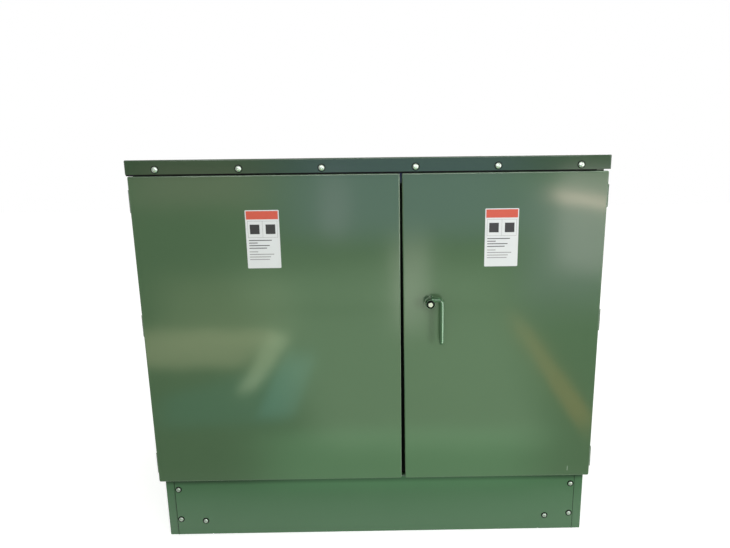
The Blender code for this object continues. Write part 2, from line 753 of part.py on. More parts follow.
def hinges(side_name, material, wall_parent, door_parent):
    for place, height in (("top", HINGE_TOP), ("middle", HINGE_MIDDLE), ("bottom", HINGE_BOTTOM)):
        halves = hinge_halves(height)
        if side_name == "left":
            halves = [[flip(shape) for shape in half] for half in halves]
        for (knuckle, leaf), half_name in zip(halves, ("fixed", "leaf")):
            base = node(f"hinge_{side_name}_{place}_{half_name}", knuckle, material)
            combine(base, [leaf], "UNION", wall_parent if half_name == "fixed" else door_parent)


def latch_collar():
    bore = SLEEVE_RADIUS + SLEEVE_GAP
    return tube(COLLAR_RADIUS, bore, -SEAT_GAP - COLLAR_LONG, -SEAT_GAP, LATCH_SIDES, HUB, along_y)


def handle_sleeve():
    """Sleeve turning in the collar, stepped down to the shaft through the door."""
    step = -2 * SEAT_GAP
    profile = [(SHAFT_RADIUS, SHAFT_INSIDE), (SHAFT_RADIUS, step)]
    profile += [(SLEEVE_RADIUS, step), (SLEEVE_RADIUS, -SLEEVE_LONG)]
    return revolve(profile, LATCH_SIDES, HUB, along_y)


def handle_lever():
    top, leg = HUB_HEIGHT + LEVER_RISE, HUB_X + LEVER_OFFSET
    points = [(HUB_X + LEVER_START, top), (leg, top), (leg, HUB_HEIGHT - LEVER_DROP)]
    return rod(points, ROD_RADIUS, LEVER_BEND, -LEVER_OUT, ROD_SIDES)


def handle_bore():
    """Recess in the sleeve's outer end, where the bolt head sits."""
    ends = [(SLEEVE_BORE_RADIUS, -2 * SLEEVE_LONG), (SLEEVE_BORE_RADIUS, SLEEVE_BORE_DEEP - SLEEVE_LONG)]
    return revolve(ends, LATCH_SIDES, HUB, along_y)


def latch_bolt():
    """Five-sided bolt head on a round flange, seated in the sleeve's recess."""
    washer, front = BOLT_Y - BOLT_FLANGE_THICK, BOLT_Y - BOLT_LONG
    flange = revolve([(BOLT_FLANGE_RADIUS, BOLT_Y), (BOLT_FLANGE_RADIUS, washer)], LATCH_SIDES, HUB, along_y)
    profile = [(BOLT_HEAD_RADIUS, washer + BOLT_FLANGE_THICK / 2), (BOLT_HEAD_RADIUS, front + BOLT_CHAMFER)]
    profile.append((BOLT_HEAD_RADIUS - BOLT_CHAMFER, front))
    return flange, revolve(profile, BOLT_SIDES, HUB, along_y)


def latch_cam():
    """Flat bar on the inner end of the shaft, in line with the lever."""
    half = CAM_WIDE / 2
    outline = []
    for centre, start in ((HUB_HEIGHT, 0), (HUB_HEIGHT - CAM_REACH + half, math.pi)):
        for k in range(CAM_STEPS + 1):
            angle = start + math.pi * k / CAM_STEPS
            outline.append((HUB_X + half * math.cos(angle), centre + half * math.sin(angle)))
    return prism(outline, CAM_SETBACK, CAM_SETBACK + CAM_THICK, along_y)


def fitting(profile, x, z, sides=FITTING_SIDES):
    """A turned fitting standing on the front plate: profile is (radius, distance out from it)."""
    face = PLATE_Y - SEAT_GAP
    return revolve([(radius, face - out) for radius, out in profile], sides, (x, z), along_y)


def hv_bushing(x):
    """Dead-front bushing: flange, collar, neck and the tapered nose that an elbow slides on."""
    profile = [
        (HV_FLANGE_RADIUS, 0),
        (HV_FLANGE_RADIUS, HV_FLANGE_THICK),
        (HV_COLLAR_RADIUS, HV_FLANGE_THICK + EASE),
        (HV_COLLAR_RADIUS, HV_COLLAR_OUT),
        (HV_NECK_RADIUS, HV_COLLAR_OUT + EASE),
        (HV_NECK_RADIUS, HV_NECK_OUT),
        (HV_NOSE_RADIUS, HV_NECK_OUT + EASE),
        (HV_TIP_RADIUS, HV_OUT - HV_TIP_CHAMFER),
        (HV_TIP_RADIUS - HV_TIP_CHAMFER, HV_OUT),
    ]
    return fitting(profile, x, HV_HEIGHT)


def lv_bushing(x):
    """Stud bushing: flange, sheds round the body, a nut and the bare stud."""
    profile = [(LV_FLANGE_RADIUS, 0), (LV_FLANGE_RADIUS, LV_FLANGE_THICK)]
    profile.append((LV_BODY_RADIUS, LV_FLANGE_THICK + EASE))
    for k in range(LV_SHED_COUNT):
        middle = LV_FLANGE_THICK + EASE + LV_SHED_PITCH * (k + 0.5)
        profile += [(LV_BODY_RADIUS, middle - LV_SHED_PITCH / 4), (LV_SHED_RADIUS, middle)]
        profile.append((LV_BODY_RADIUS, middle + LV_SHED_PITCH / 4))
    nut = LV_BODY_OUT + LV_NUT_THICK
    profile += [(LV_BODY_RADIUS, LV_BODY_OUT), (LV_NUT_RADIUS, LV_BODY_OUT), (LV_NUT_RADIUS, nut)]
    profile += [(LV_STUD_RADIUS, nut), (LV_STUD_RADIUS, LV_STUD_OUT)]
    return fitting(profile, x, LV_HEIGHT)


def gauge(x):
    profile = [(GAUGE_STEM_RADIUS, 0), (GAUGE_STEM_RADIUS, GAUGE_STEM_OUT), (GAUGE_RADIUS, GAUGE_STEM_OUT)]
    profile += [(GAUGE_RADIUS, GAUGE_DEEP), (GAUGE_RADIUS - GAUGE_BEZEL, GAUGE_DEEP)]
    profile.append((GAUGE_RADIUS - GAUGE_BEZEL, GAUGE_DEEP - GAUGE_RECESS))
    return fitting(profile, x, GAUGE_HEIGHT, GAUGE_SIDES)


def valve_parts(x):
    """Drain valve: pipe and body square to the plate, bonnet and handwheel above it."""
    profile = [
        (VALVE_FLANGE_RADIUS, 0),
        (VALVE_FLANGE_RADIUS, VALVE_FLANGE_THICK),
        (VALVE_PIPE_RADIUS, VALVE_FLANGE_THICK),
        (VALVE_PIPE_RADIUS, VALVE_PIPE_OUT),
        (VALVE_BODY_RADIUS, VALVE_PIPE_OUT + EASE),
        (VALVE_BODY_RADIUS, VALVE_BODY_OUT),
        (VALVE_PIPE_RADIUS, VALVE_BODY_OUT + EASE),
        (VALVE_PIPE_RADIUS, VALVE_PLUG_START),
        (VALVE_PLUG_RADIUS, VALVE_PLUG_START),
        (VALVE_PLUG_RADIUS, VALVE_OUT),
    ]
    bonnet, wheel = VALVE_HEIGHT + VALVE_BONNET_RISE, VALVE_HEIGHT + VALVE_WHEEL_RISE
    upright = [(VALVE_BONNET_RADIUS, VALVE_HEIGHT), (VALVE_BONNET_RADIUS, bonnet)]
    upright += [(VALVE_STEM_RADIUS, bonnet), (VALVE_STEM_RADIUS, wheel)]
    upright += [(VALVE_WHEEL_RADIUS, wheel), (VALVE_WHEEL_RADIUS, wheel + VALVE_WHEEL_THICK)]
    stem_y = PLATE_Y - (VALVE_PIPE_OUT + VALVE_BODY_OUT) / 2
    return fitting(profile, x, VALVE_HEIGHT), revolve(upright, FITTING_SIDES, (x, stem_y), along_z)


def tap_parts(x):
    """Tap-changer knob: a round boss with a pointer grip."""
    profile = [(TAP_FLANGE_RADIUS, 0), (TAP_FLANGE_RADIUS, TAP_FLANGE_THICK)]
    profile += [(TAP_BOSS_RADIUS, TAP_FLANGE_THICK), (TAP_BOSS_RADIUS, TAP_BOSS_OUT)]
    half = TAP_GRIP_WIDE / 2
    grip = block(x - half, x + half, PLATE_Y - TAP_GRIP_OUT, PLATE_Y - TAP_BOSS_OUT + EASE,
                 TAP_HEIGHT - TAP_GRIP_DOWN, TAP_HEIGHT + TAP_GRIP_UP)
    return fitting(profile, x, TAP_HEIGHT), grip


def evenly(first, last, count):
    return [first + (last - first) * k / (count - 1) for k in range(count)]


def build_cabinet(root, green):
    combine(node("side_wall_right", side_wall(), green), [foot_tab()], "UNION", root)
    combine(node("side_wall_left", flip(side_wall()), green), [flip(foot_tab())], "UNION", root)
    node("front_sill", front_sill(), green, root)
    node("door_header", door_header(), green, root)
    node("cabinet_hood", hood(), green, root)
    node("compartment_barrier", barrier(), green, root)


def build_tank(root, green):
    combine(node("tank_body", tank_shell(), green), tank_extras(), "UNION", root)
    plate = prism(rectangle(-WALL_X, WALL_X, PLATE_Y, PLATE_Y + PLATE_THICK), 0,
                  lambda x, y: hood_under(y), along_z)
    node("tank_front_plate", plate, green, root)
    node("tank_cover", tank_cover(), green, root)
    node("handhole_cover", handhole_cover(), green, root)
    for end, y in (("front", TANK_Y + LUG_INSET), ("rear", TANK_REAR_Y - LUG_INSET)):
        for side_name, side in (("left", -1), ("right", 1)):
            lifting_lug(f"lifting_lug_{end}_{side_name}", side, y, green, root)
    node("base_rail_front", base_rail(TANK_Y + RAIL_INSET), green, root)
    node("base_rail_rear", base_rail(TANK_REAR_Y - RAIL_INSET - RAIL_DEEP), green, root)
    for k in range(BANK_COUNT):
        radiator_bank(f"radiator_bank_{k + 1}", BANK_PITCH * (k - (BANK_COUNT - 1) / 2), green, root)


def build_fittings(root, finishes):
    for k, x in enumerate(evenly(HV_FROM_WALL - WALL_X, SEAM_X - HV_FROM_BARRIER, HV_COUNT)):
        node(f"hv_bushing_{k + 1}", hv_bushing(x), finishes["rubber"], root)
    for k, x in enumerate(evenly(SEAM_X + LV_FROM_BARRIER, WALL_X - LV_FROM_WALL, LV_COUNT)):
        node(f"lv_bushing_{k + 1}", lv_bushing(x), finishes["tinned"], root)
    for name, step in (("oil_level_gauge", 1), ("oil_thermometer", 0)):
        node(name, gauge(WALL_X - GAUGE_FROM_WALL - GAUGE_PITCH * step), finishes["steel"], root)
    body, stem = valve_parts(WALL_X - VALVE_FROM_WALL)
    combine(node("drain_valve", body, finishes["brass"]), [stem], "UNION", root)
    boss, grip = tap_parts(SEAM_X - TAP_FROM_SEAM)
    combine(node("tap_changer", boss, finishes["rubber"]), [grip], "UNION", root)


def build_doors(root, pivots, green):
    left_edge, right_edge = SEAM_X - SEAM_GAP / 2, SEAM_X + SEAM_GAP / 2
    node("door_left", door_pan(-HALF_SPAN, left_edge), green, pivots["left"])
    node("door_left_stiffener", door_stiffener((left_edge - HALF_SPAN) / 2), green, pivots["left"])
    bore = SHAFT_RADIUS + SHAFT_GAP
    drill = revolve([(bore, -SHEET), (bore, 2 * SHEET)], LATCH_SIDES, HUB, along_y)
    door = node("door_right", door_pan(HALF_SPAN, right_edge), green)
    combine(door, [drill], "DIFFERENCE", pivots["right"])
    node("door_right_stiffener", door_stiffener((right_edge + HALF_SPAN) / 2), green, pivots["right"])
    hinges("left", green, root, pivots["left"])
    hinges("right", green, root, pivots["right"])


def build_latch(pivots, green, steel):
    node("latch_collar", latch_collar(), green, pivots["right"])
    handle = combine(node("door_handle", handle_sleeve(), green), [handle_lever()], "UNION", None)
    combine(handle, [handle_bore()], "DIFFERENCE", pivots["handle"])
    flange, head = latch_bolt()
    combine(node("latch_bolt", flange, steel), [head], "UNION", pivots["handle"])
    bore = SHAFT_RADIUS + SEAT_GAP
    drill = revolve([(bore, 0), (bore, DOOR_DEEP)], LATCH_SIDES, HUB, along_y)
    combine(node("latch_cam", latch_cam(), steel), [drill], "DIFFERENCE", pivots["handle"])


def main():
    clear_scene()
    finishes = {
        "green": paint("green_enamel", (0.045, 0.115, 0.055), 0.25),
        "steel": paint("stainless_steel", (0.62, 0.62, 0.60), 0.30, 1.0),
        "rubber": paint("moulded_rubber", (0.020, 0.020, 0.022), 0.60),
        "tinned": paint("tinned_copper", (0.56, 0.55, 0.53), 0.35, 1.0),
        "brass": paint("valve_brass", (0.50, 0.34, 0.12), 0.35, 1.0),
    }
    root = empty("transformer", (0, -MIDDLE_Y, 0))
    pivots = {
        "left": empty("left_door_pivot", (-HINGE_X, HINGE_Y, 0), root),
        "right": empty("right_door_pivot", (HINGE_X, HINGE_Y, 0), root),
        "handle": empty("handle_pivot", (HUB_X, 0, HUB_HEIGHT), root),
    }
    build_cabinet(root, finishes["green"])
    build_tank(root, finishes["green"])
    build_fittings(root, finishes)
    build_doors(root, pivots, finishes["green"])
    build_latch(pivots, finishes["green"], finishes["steel"])


main()
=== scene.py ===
# Pad-mounted three-phase transformer, dressed for a studio photograph.
# The CAD frame gives every place and size; this file adds finishes, fastenings, dark strips of painted shade in
# the gaps, stickers and dials.
import json
import math

import bmesh
import bpy
from mathutils import Matrix, Vector

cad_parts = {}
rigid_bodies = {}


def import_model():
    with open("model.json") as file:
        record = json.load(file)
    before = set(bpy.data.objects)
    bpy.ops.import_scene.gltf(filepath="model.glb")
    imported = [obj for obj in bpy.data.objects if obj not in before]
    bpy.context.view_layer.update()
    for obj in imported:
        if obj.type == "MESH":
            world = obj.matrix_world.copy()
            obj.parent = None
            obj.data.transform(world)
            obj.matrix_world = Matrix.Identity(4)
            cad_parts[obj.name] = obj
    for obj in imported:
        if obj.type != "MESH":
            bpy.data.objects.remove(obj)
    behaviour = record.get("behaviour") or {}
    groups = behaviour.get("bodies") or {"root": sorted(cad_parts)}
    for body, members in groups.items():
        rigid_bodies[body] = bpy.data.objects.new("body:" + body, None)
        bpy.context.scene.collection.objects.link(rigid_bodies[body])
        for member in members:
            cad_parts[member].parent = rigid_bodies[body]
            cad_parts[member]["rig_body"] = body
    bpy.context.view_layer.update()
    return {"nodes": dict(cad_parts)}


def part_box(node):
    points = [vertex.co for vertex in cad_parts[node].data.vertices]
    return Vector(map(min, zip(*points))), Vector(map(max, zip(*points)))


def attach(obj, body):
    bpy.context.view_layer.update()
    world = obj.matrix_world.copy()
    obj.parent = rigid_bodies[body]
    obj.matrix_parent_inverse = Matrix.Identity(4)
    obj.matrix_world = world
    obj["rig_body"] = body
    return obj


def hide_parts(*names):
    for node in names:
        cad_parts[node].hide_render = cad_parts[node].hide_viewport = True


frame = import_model()
nodes = frame["nodes"]
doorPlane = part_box("door_left")[0].y  # the doors' outer face
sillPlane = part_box("front_sill")[0].y
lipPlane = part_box("cabinet_hood")[0].y
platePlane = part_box("tank_front_plate")[0].y
hub = sum(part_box("latch_collar"), Vector()) / 2  # on the latch's axis
sharpDegrees = 40  # edges that turn more than this stay crisp on the small pieces


def linear(hexColour):
    # sRGB hex to the linear values that shaders take
    channels = [int(hexColour[i:i + 2], 16) / 255 for i in (0, 2, 4)]
    return [c / 12.92 if c <= 0.04045 else ((c + 0.055) / 1.055) ** 2.4 for c in channels] + [1.0]


def addNode(tree, kind, settings=None, inputs=None, links=None):
    # Adds one node, sets its properties and sockets, and links other nodes' outputs to its inputs
    made = tree.nodes.new(kind)
    for name, value in (settings or {}).items():
        setattr(made, name, value)
    for name, value in (inputs or {}).items():
        made.inputs[name].default_value = value
    for name, source in (links or {}).items():
        tree.links.new(source, made.inputs[name])
    return made


def newMaterial(name):
    made = bpy.data.materials.new(name)
    made.use_nodes = True
    made.node_tree.nodes.clear()
    return made, made.node_tree


def finishMaterial(tree, shader):
    addNode(tree, "ShaderNodeOutputMaterial", links={"Surface": shader.outputs[0]})


def nearHub(tree, place, inner, outer):
    # 1 between two distances from the latch's axis, which runs front to back
    axis = addNode(tree, "ShaderNodeCombineXYZ", inputs={"X": hub.x, "Z": hub.z})
    offset = addNode(tree, "ShaderNodeVectorMath", {"operation": "SUBTRACT"},
                     links={0: place, 1: axis.outputs["Vector"]})
    level = addNode(tree, "ShaderNodeVectorMath", {"operation": "MULTIPLY"}, {1: (1, 0, 1)},
                    {0: offset.outputs["Vector"]})
    away = addNode(tree, "ShaderNodeVectorMath", {"operation": "LENGTH"}, links={0: level.outputs["Vector"]})
    outside = addNode(tree, "ShaderNodeMath", {"operation": "GREATER_THAN"}, {1: inner},
                      {0: away.outputs["Value"]})
    inside = addNode(tree, "ShaderNodeMath", {"operation": "LESS_THAN"}, {1: outer}, {0: away.outputs["Value"]})
    both = addNode(tree, "ShaderNodeMath", {"operation": "MULTIPLY"},
                   links={0: outside.outputs["Value"], 1: inside.outputs["Value"]})
    return both.outputs["Value"]


# Alkyd enamel, sprayed on cold-rolled sheet. The eye sees clear but soft reflections that wander with the
# sheet's slight waves, a tone that drifts a little over each panel, and a faint orange peel close up.
enamel = {
    "door": ("506A4D", "4D674A"),
    # the hood's green, darker than the doors: painted shade
    "hood": ("3A5139", "374E37"),
    "sill": ("466D4A", "426946"),
    "tank": ("4B6D49", "476945"),
    # the handle's green, darker than the doors: painted shade for its shaded side
    "handle": ("2F5633", "2C5230"),
    "roughness": 0.11,
    "handleRoughness": 0.33,
    "driftMetres": 0.5,
    "waveMetres": 0.55,
    "waveRise": 0.0024,
    "rippleMetres": 0.11,
    "rippleRise": 0.0003,
    "peelMetres": 0.003,
    "peelRise": 0.000015,
    "bend": "A9C4A8",  # painted highlight: the paler tone of the folds
    "bendTurn": (0.15, 0.45),  # it sets in as a fold's face turns up, or to the right
    "bendFront": (-0.10, -0.30),  # and only while it still faces the front
    "closingShare": 0.37,  # how much of it the right-hand folds show, on the door that closes first
    # painted shadow under the doors' foot, on the sill's front: its colour
    "footShadow": "314E34",
    "footShadowRise": (0.228, 0.252),  # the heights between which it darkens
    "footShadowEnd": (0.2745, 0.2740),  # it ends at the doors' foot
    "footShadowFront": (-0.4, -0.6),  # and lies on what faces the front
    "bore": "0C0F0C",  # painted shade: nearly black in the handle's sleeve
    "boreRadius": 0.0160,
}


def glossyEnamel(name, colours, roughness=enamel["roughness"], rightHighlight=None, footShadowed=False, bored=False):
    made, tree = newMaterial(name)
    given = addNode(tree, "ShaderNodeTexCoord")
    place = given.outputs["Object"]
    drift = addNode(tree, "ShaderNodeTexNoise", inputs={"Scale": 1 / enamel["driftMetres"], "Detail": 2.0},
                    links={"Vector": place})
    colour = addNode(tree, "ShaderNodeMix", {"data_type": "RGBA"}, {6: linear(colours[0]), 7: linear(colours[1])},
                     {"Factor": drift.outputs["Fac"]})
    bump = None
    for size in ("wave", "ripple", "peel"):  # each bump stands on the one before
        noise = addNode(tree, "ShaderNodeTexNoise", inputs={"Scale": 1 / enamel[size + "Metres"], "Detail": 0.0},
                        links={"Vector": place})
        under = {"Normal": bump.outputs["Normal"]} if bump else {}
        bump = addNode(tree, "ShaderNodeBump", inputs={"Strength": 1.0, "Distance": enamel[size + "Rise"]},
                       links={"Height": noise.outputs["Fac"], **under})
    if rightHighlight is not None:  # painted highlight: pale on folds that face up and, by this share, to the right
        axes = addNode(tree, "ShaderNodeSeparateXYZ", links={"Vector": given.outputs["Normal"]})
        rightwards = addNode(tree, "ShaderNodeMath", {"operation": "MULTIPLY"}, {1: rightHighlight},
                             {0: axes.outputs["X"]})
        most = addNode(tree, "ShaderNodeMath", {"operation": "MAXIMUM"},
                       links={0: axes.outputs["Z"], 1: rightwards.outputs["Value"]})
        turned = addNode(tree, "ShaderNodeMapRange", inputs=dict(zip((1, 2), enamel["bendTurn"])),
                         links={0: most.outputs["Value"]})
        front = addNode(tree, "ShaderNodeMapRange", inputs=dict(zip((1, 2), enamel["bendFront"])),
                        links={0: axes.outputs["Y"]})
        highlightShare = addNode(tree, "ShaderNodeMath", {"operation": "MULTIPLY"},
                       links={0: turned.outputs["Result"], 1: front.outputs["Result"]})
        colour = addNode(tree, "ShaderNodeMix", {"data_type": "RGBA"}, {7: linear(enamel["bend"])},
                         {"Factor": highlightShare.outputs["Value"], 6: colour.outputs[2]})
    if footShadowed:  # painted shadow: the front darkens just under the doors' foot, where they overhang it
        spots = addNode(tree, "ShaderNodeSeparateXYZ", links={"Vector": place})
        axes = addNode(tree, "ShaderNodeSeparateXYZ", links={"Vector": given.outputs["Normal"]})
        share = addNode(tree, "ShaderNodeMapRange", {"interpolation_type": "SMOOTHSTEP"},
                        dict(zip((1, 2), enamel["footShadowRise"])), {0: spots.outputs["Z"]}).outputs["Result"]
        for limits, source in (("footShadowEnd", spots.outputs["Z"]), ("footShadowFront", axes.outputs["Y"])):
            limit = addNode(tree, "ShaderNodeMapRange", inputs=dict(zip((1, 2), enamel[limits])),
                            links={0: source})
            share = addNode(tree, "ShaderNodeMath", {"operation": "MULTIPLY"},
                            links={0: share, 1: limit.outputs["Result"]}).outputs["Value"]
        colour = addNode(tree, "ShaderNodeMix", {"data_type": "RGBA"}, {7: linear(enamel["footShadow"])},
                         {"Factor": share, 6: colour.outputs[2]})
    # painted shade: the sleeve's bore turns nearly black
    if bored:
        colour = addNode(tree, "ShaderNodeMix", {"data_type": "RGBA"}, {7: linear(enamel["bore"])},
                         {"Factor": nearHub(tree, place, 0.0, enamel["boreRadius"]), 6: colour.outputs[2]})
    shader = addNode(tree, "ShaderNodeBsdfPrincipled", inputs={"Roughness": roughness},
                     links={"Base Color": colour.outputs[2], "Normal": bump.outputs["Normal"]})
    finishMaterial(tree, shader)
    return made


# Both door enamels carry the painted highlight on their folds
doorEnamel = glossyEnamel("doorEnamel", enamel["door"], rightHighlight=0.0)
closingEnamel = glossyEnamel("closingDoorEnamel", enamel["door"], rightHighlight=enamel["closingShare"])
handleEnamel = glossyEnamel("handleEnamel", enamel["handle"], enamel["handleRoughness"], bored=True)  # satin, and darker than the doors: painted shade for the round bar's shaded side, with painted shade in its bore
hoodShadedEnamel = glossyEnamel("hoodShadedEnamel", enamel["hood"])  # painted shade: the doors' green darkened for the lip, which looks darker in this light
sillEnamel = glossyEnamel("sillEnamel", enamel["sill"], footShadowed=True)  # a cooler green than the doors, with a painted shadow under their foot
tankEnamel = glossyEnamel("tankEnamel", enamel["tank"])

grainRise = 0.0003  # how high the grain stands at a bump strength of 1


def grainyFinish(name, colours, roughness, metallic, grainMillimetres, bumpStrength, specular=0.5):
    # One base for metals, rubber, film and ink: two close tones in a grain, and the same grain as bump. Grain
    # that is finer than about half a millimetre on the real thing is drawn coarser, so that it shows
    made, tree = newMaterial(name)
    place = addNode(tree, "ShaderNodeTexCoord").outputs["Object"]
    grain = addNode(tree, "ShaderNodeTexNoise", inputs={"Scale": 1000 / grainMillimetres, "Detail": 3.0},
                    links={"Vector": place})
    colour = addNode(tree, "ShaderNodeMix", {"data_type": "RGBA"}, {6: linear(colours[0]), 7: linear(colours[1])},
                     {"Factor": grain.outputs["Fac"]})
    bump = addNode(tree, "ShaderNodeBump", inputs={"Strength": bumpStrength, "Distance": grainRise},
                   links={"Height": grain.outputs["Fac"]})
    shader = addNode(tree, "ShaderNodeBsdfPrincipled",
                     inputs={"Roughness": roughness, "Metallic": metallic, "Specular IOR Level": specular},
                     links={"Base Color": colour.outputs[2], "Normal": bump.outputs["Normal"]})
    finishMaterial(tree, shader)
    return made


# Metals: soft bright with faint tool marks, then brighter, then duller and slightly mottled
stainless = grainyFinish("turnedStainless", ("ABB7AA", "9AA698"), 0.36, 1.0, 0.8, 0.10)
polished = grainyFinish("polishedSteel", ("C6C2BE", "B4B0AC"), 0.22, 1.0, 0.8, 0.10)
galvanised = grainyFinish("zincPlatedSteel", ("B9BBB8", "A5A7A6"), 0.38, 1.0, 1.5, 0.12)
brass = grainyFinish("castBrass", ("C9A45C", "B8934E"), 0.34, 1.0, 1.6, 0.20)  # yellow, sand-cast skin
rubber = grainyFinish("mouldedRubber", ("2B2B2D", "242426"), 0.55, 0.0, 0.6, 0.15)  # matt black, soft sheen
shadeBlack = grainyFinish("paintedShadeBlack", ("0C0C0C", "121212"), 0.70, 0.0, 0.6, 0.10, 0.05)  # dull, near black: painted shade in the gaps and round the screw heads
primer = grainyFinish("greyPrimer", ("A6B5A2", "9DAD9A"), 0.60, 0.0, 1.0, 0.20)  # pale and matt, under the enamel
vinyl = grainyFinish("whiteVinylFilm", ("D6DAD8", "D0D4D2"), 0.35, 0.0, 2.0, 0.02)  # smooth satin film
# Flat, dense inks and paint, with a low sheen
orangeInk = grainyFinish("orangeScreenInk", ("C84A2E", "C0462A"), 0.40, 0.0, 2.0, 0.02)
greyInk = grainyFinish("greyScreenInk", ("8A8A88", "828280"), 0.45, 0.0, 2.0, 0.02)
blackInk = grainyFinish("blackScreenInk", ("1C1C1C", "181818"), 0.45, 0.0, 2.0, 0.02)
redInk = grainyFinish("redPointerPaint", ("B8281E", "AA241B"), 0.35, 0.0, 2.0, 0.02)

lvBushing = {"resin": "6B4B3C", "stud": "C2BFB7", "studStartsOut": 0.086, "resinRough": 0.30, "studRough": 0.36}


def resinAndStud(name, splitY):
    # Brown, semi-gloss resin near the tank's wall and a dull silver, tinned stud in front of a depth
    made, tree = newMaterial(name)
    place = addNode(tree, "ShaderNodeTexCoord").outputs["Object"]
    depth = addNode(tree, "ShaderNodeSeparateXYZ", links={"Vector": place})
    side = addNode(tree, "ShaderNodeMath", {"operation": "LESS_THAN"}, {1: splitY}, {0: depth.outputs["Y"]})
    colour = addNode(tree, "ShaderNodeMix", {"data_type": "RGBA"},
                     {6: linear(lvBushing["resin"]), 7: linear(lvBushing["stud"])},
                     {"Factor": side.outputs["Value"]})
    rough = addNode(tree, "ShaderNodeMapRange", inputs={3: lvBushing["resinRough"], 4: lvBushing["studRough"]},
                    links={0: side.outputs["Value"]})
    shader = addNode(tree, "ShaderNodeBsdfPrincipled",
                     links={"Base Color": colour.outputs[2], "Metallic": side.outputs["Value"],
                            "Roughness": rough.outputs["Result"]})
    finishMaterial(tree, shader)
    return made


lvFinish = resinAndStud("resinBushingTinnedStud", platePlane - lvBushing["studStartsOut"])
latchBolt = {"headRadius": 0.0090, "recessShadeReach": 1.0, "recessShade": "101210"}  # painted shade: black from the head's edge outwards, for the dark recess round it


def ringedSteel(name, source):
    # The bolt's bright head, with its skirt and flange painted black as the shade of the recess round it
    made = source.copy()
    made.name = name
    tree = made.node_tree
    shader = next(node for node in tree.nodes if node.bl_idname == "ShaderNodeBsdfPrincipled")
    place = next(node for node in tree.nodes if node.bl_idname == "ShaderNodeTexCoord").outputs["Object"]
    black = nearHub(tree, place, latchBolt["headRadius"], latchBolt["recessShadeReach"])
    bright = shader.inputs["Base Color"].links[0].from_socket
    colour = addNode(tree, "ShaderNodeMix", {"data_type": "RGBA"}, {7: linear(latchBolt["recessShade"])},
                     {"Factor": black, 6: bright})
    tree.links.new(colour.outputs[2], shader.inputs["Base Color"])
    metal = addNode(tree, "ShaderNodeMath", {"operation": "SUBTRACT"}, {0: 1.0}, {1: black})
    tree.links.new(metal.outputs["Value"], shader.inputs["Metallic"])
    return made


boltFinish = ringedSteel("blackenedSteelBolt", polished)


def finishOf(name):
    if name == "cabinet_hood":
        return hoodShadedEnamel
    if name in ("front_sill", "side_wall_left", "side_wall_right"):
        return sillEnamel
    if name == "door_handle":
        return handleEnamel
    if name == "door_left":
        return closingEnamel
    if name.startswith("door") or name.startswith("hinge") or name == "latch_collar":
        return doorEnamel
    if name == "latch_bolt":
        return boltFinish
    if name == "latch_cam":
        return stainless
    if name.startswith("oil_"):
        return galvanised
    if name.startswith("hv_bushing") or name == "tap_changer":
        return rubber
    if name.startswith("lv_bushing"):
        return lvFinish
    if name == "drain_valve":
        return brass
    return tankEnamel


for nodeName, thing in nodes.items():
    thing.data.materials.clear()
    thing.data.materials.append(finishOf(nodeName))
print("stage: finishes")


def addPiece(name, mesh, body):
    made = bpy.data.objects.new(name, mesh)
    bpy.context.scene.collection.objects.link(made)
    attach(made, body)
    return made


def evaluated(thing, name):
    # The plain mesh of an object with its modifiers in it; the object goes
    bpy.context.view_layer.update()
    graph = bpy.context.evaluated_depsgraph_get()
    mesh = bpy.data.meshes.new_from_object(thing.evaluated_get(graph))
    mesh.name = name
    bpy.data.objects.remove(thing, do_unlink=True)
    return mesh


# Smooth skins: merged copies of the round and folded nodes, so that bends and turned parts shade as curves
smoothSkin = {
    "edgeDegrees": 38.0,
    "flatDegrees": 0.1,
    "mergeMetres": 1e-5,
    "flatWeight": 90,
    "nodes": ["door_left", "door_right", "cabinet_hood", "front_sill", "door_handle", "latch_collar", "latch_bolt",
              "tank_body", "tank_cover", "handhole_cover", "oil_level_gauge", "oil_thermometer", "drain_valve",
              "tap_changer", "side_wall_left", "side_wall_right", "door_header", "base_rail_front",
              "base_rail_rear"],
    "families": ["hinge_", "hv_bushing_", "lv_bushing_", "radiator_bank_", "lifting_lug_"],
}


def addSmoothSkin(name):
    source = nodes[name]
    shape = bmesh.new()
    shape.from_mesh(source.data)
    bmesh.ops.remove_doubles(shape, verts=shape.verts, dist=smoothSkin["mergeMetres"])
    bmesh.ops.dissolve_limit(shape, angle_limit=math.radians(smoothSkin["flatDegrees"]), verts=shape.verts,
                             edges=shape.edges)
    mesh = bpy.data.meshes.new(name + "_skin")
    shape.to_mesh(mesh)
    shape.free()
    mesh.shade_smooth()
    mesh.set_sharp_from_angle(angle=math.radians(smoothSkin["edgeDegrees"]))
    helper = bpy.data.objects.new(name + "_helper", mesh)
    bpy.context.scene.collection.objects.link(helper)
    weighted = helper.modifiers.new("flatsStayFlat", "WEIGHTED_NORMAL")
    weighted.keep_sharp = True
    weighted.weight = smoothSkin["flatWeight"]
    made = addPiece(name + "_skin", evaluated(helper, name + "_skin"), source["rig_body"])
    made.data.materials.clear()
    made.data.materials.append(finishOf(name))
    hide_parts(name)


for nodeName in sorted(nodes):
    if nodeName in smoothSkin["nodes"] or any(nodeName.startswith(start) for start in smoothSkin["families"]):
        addSmoothSkin(nodeName)
print("stage: smooth skins")


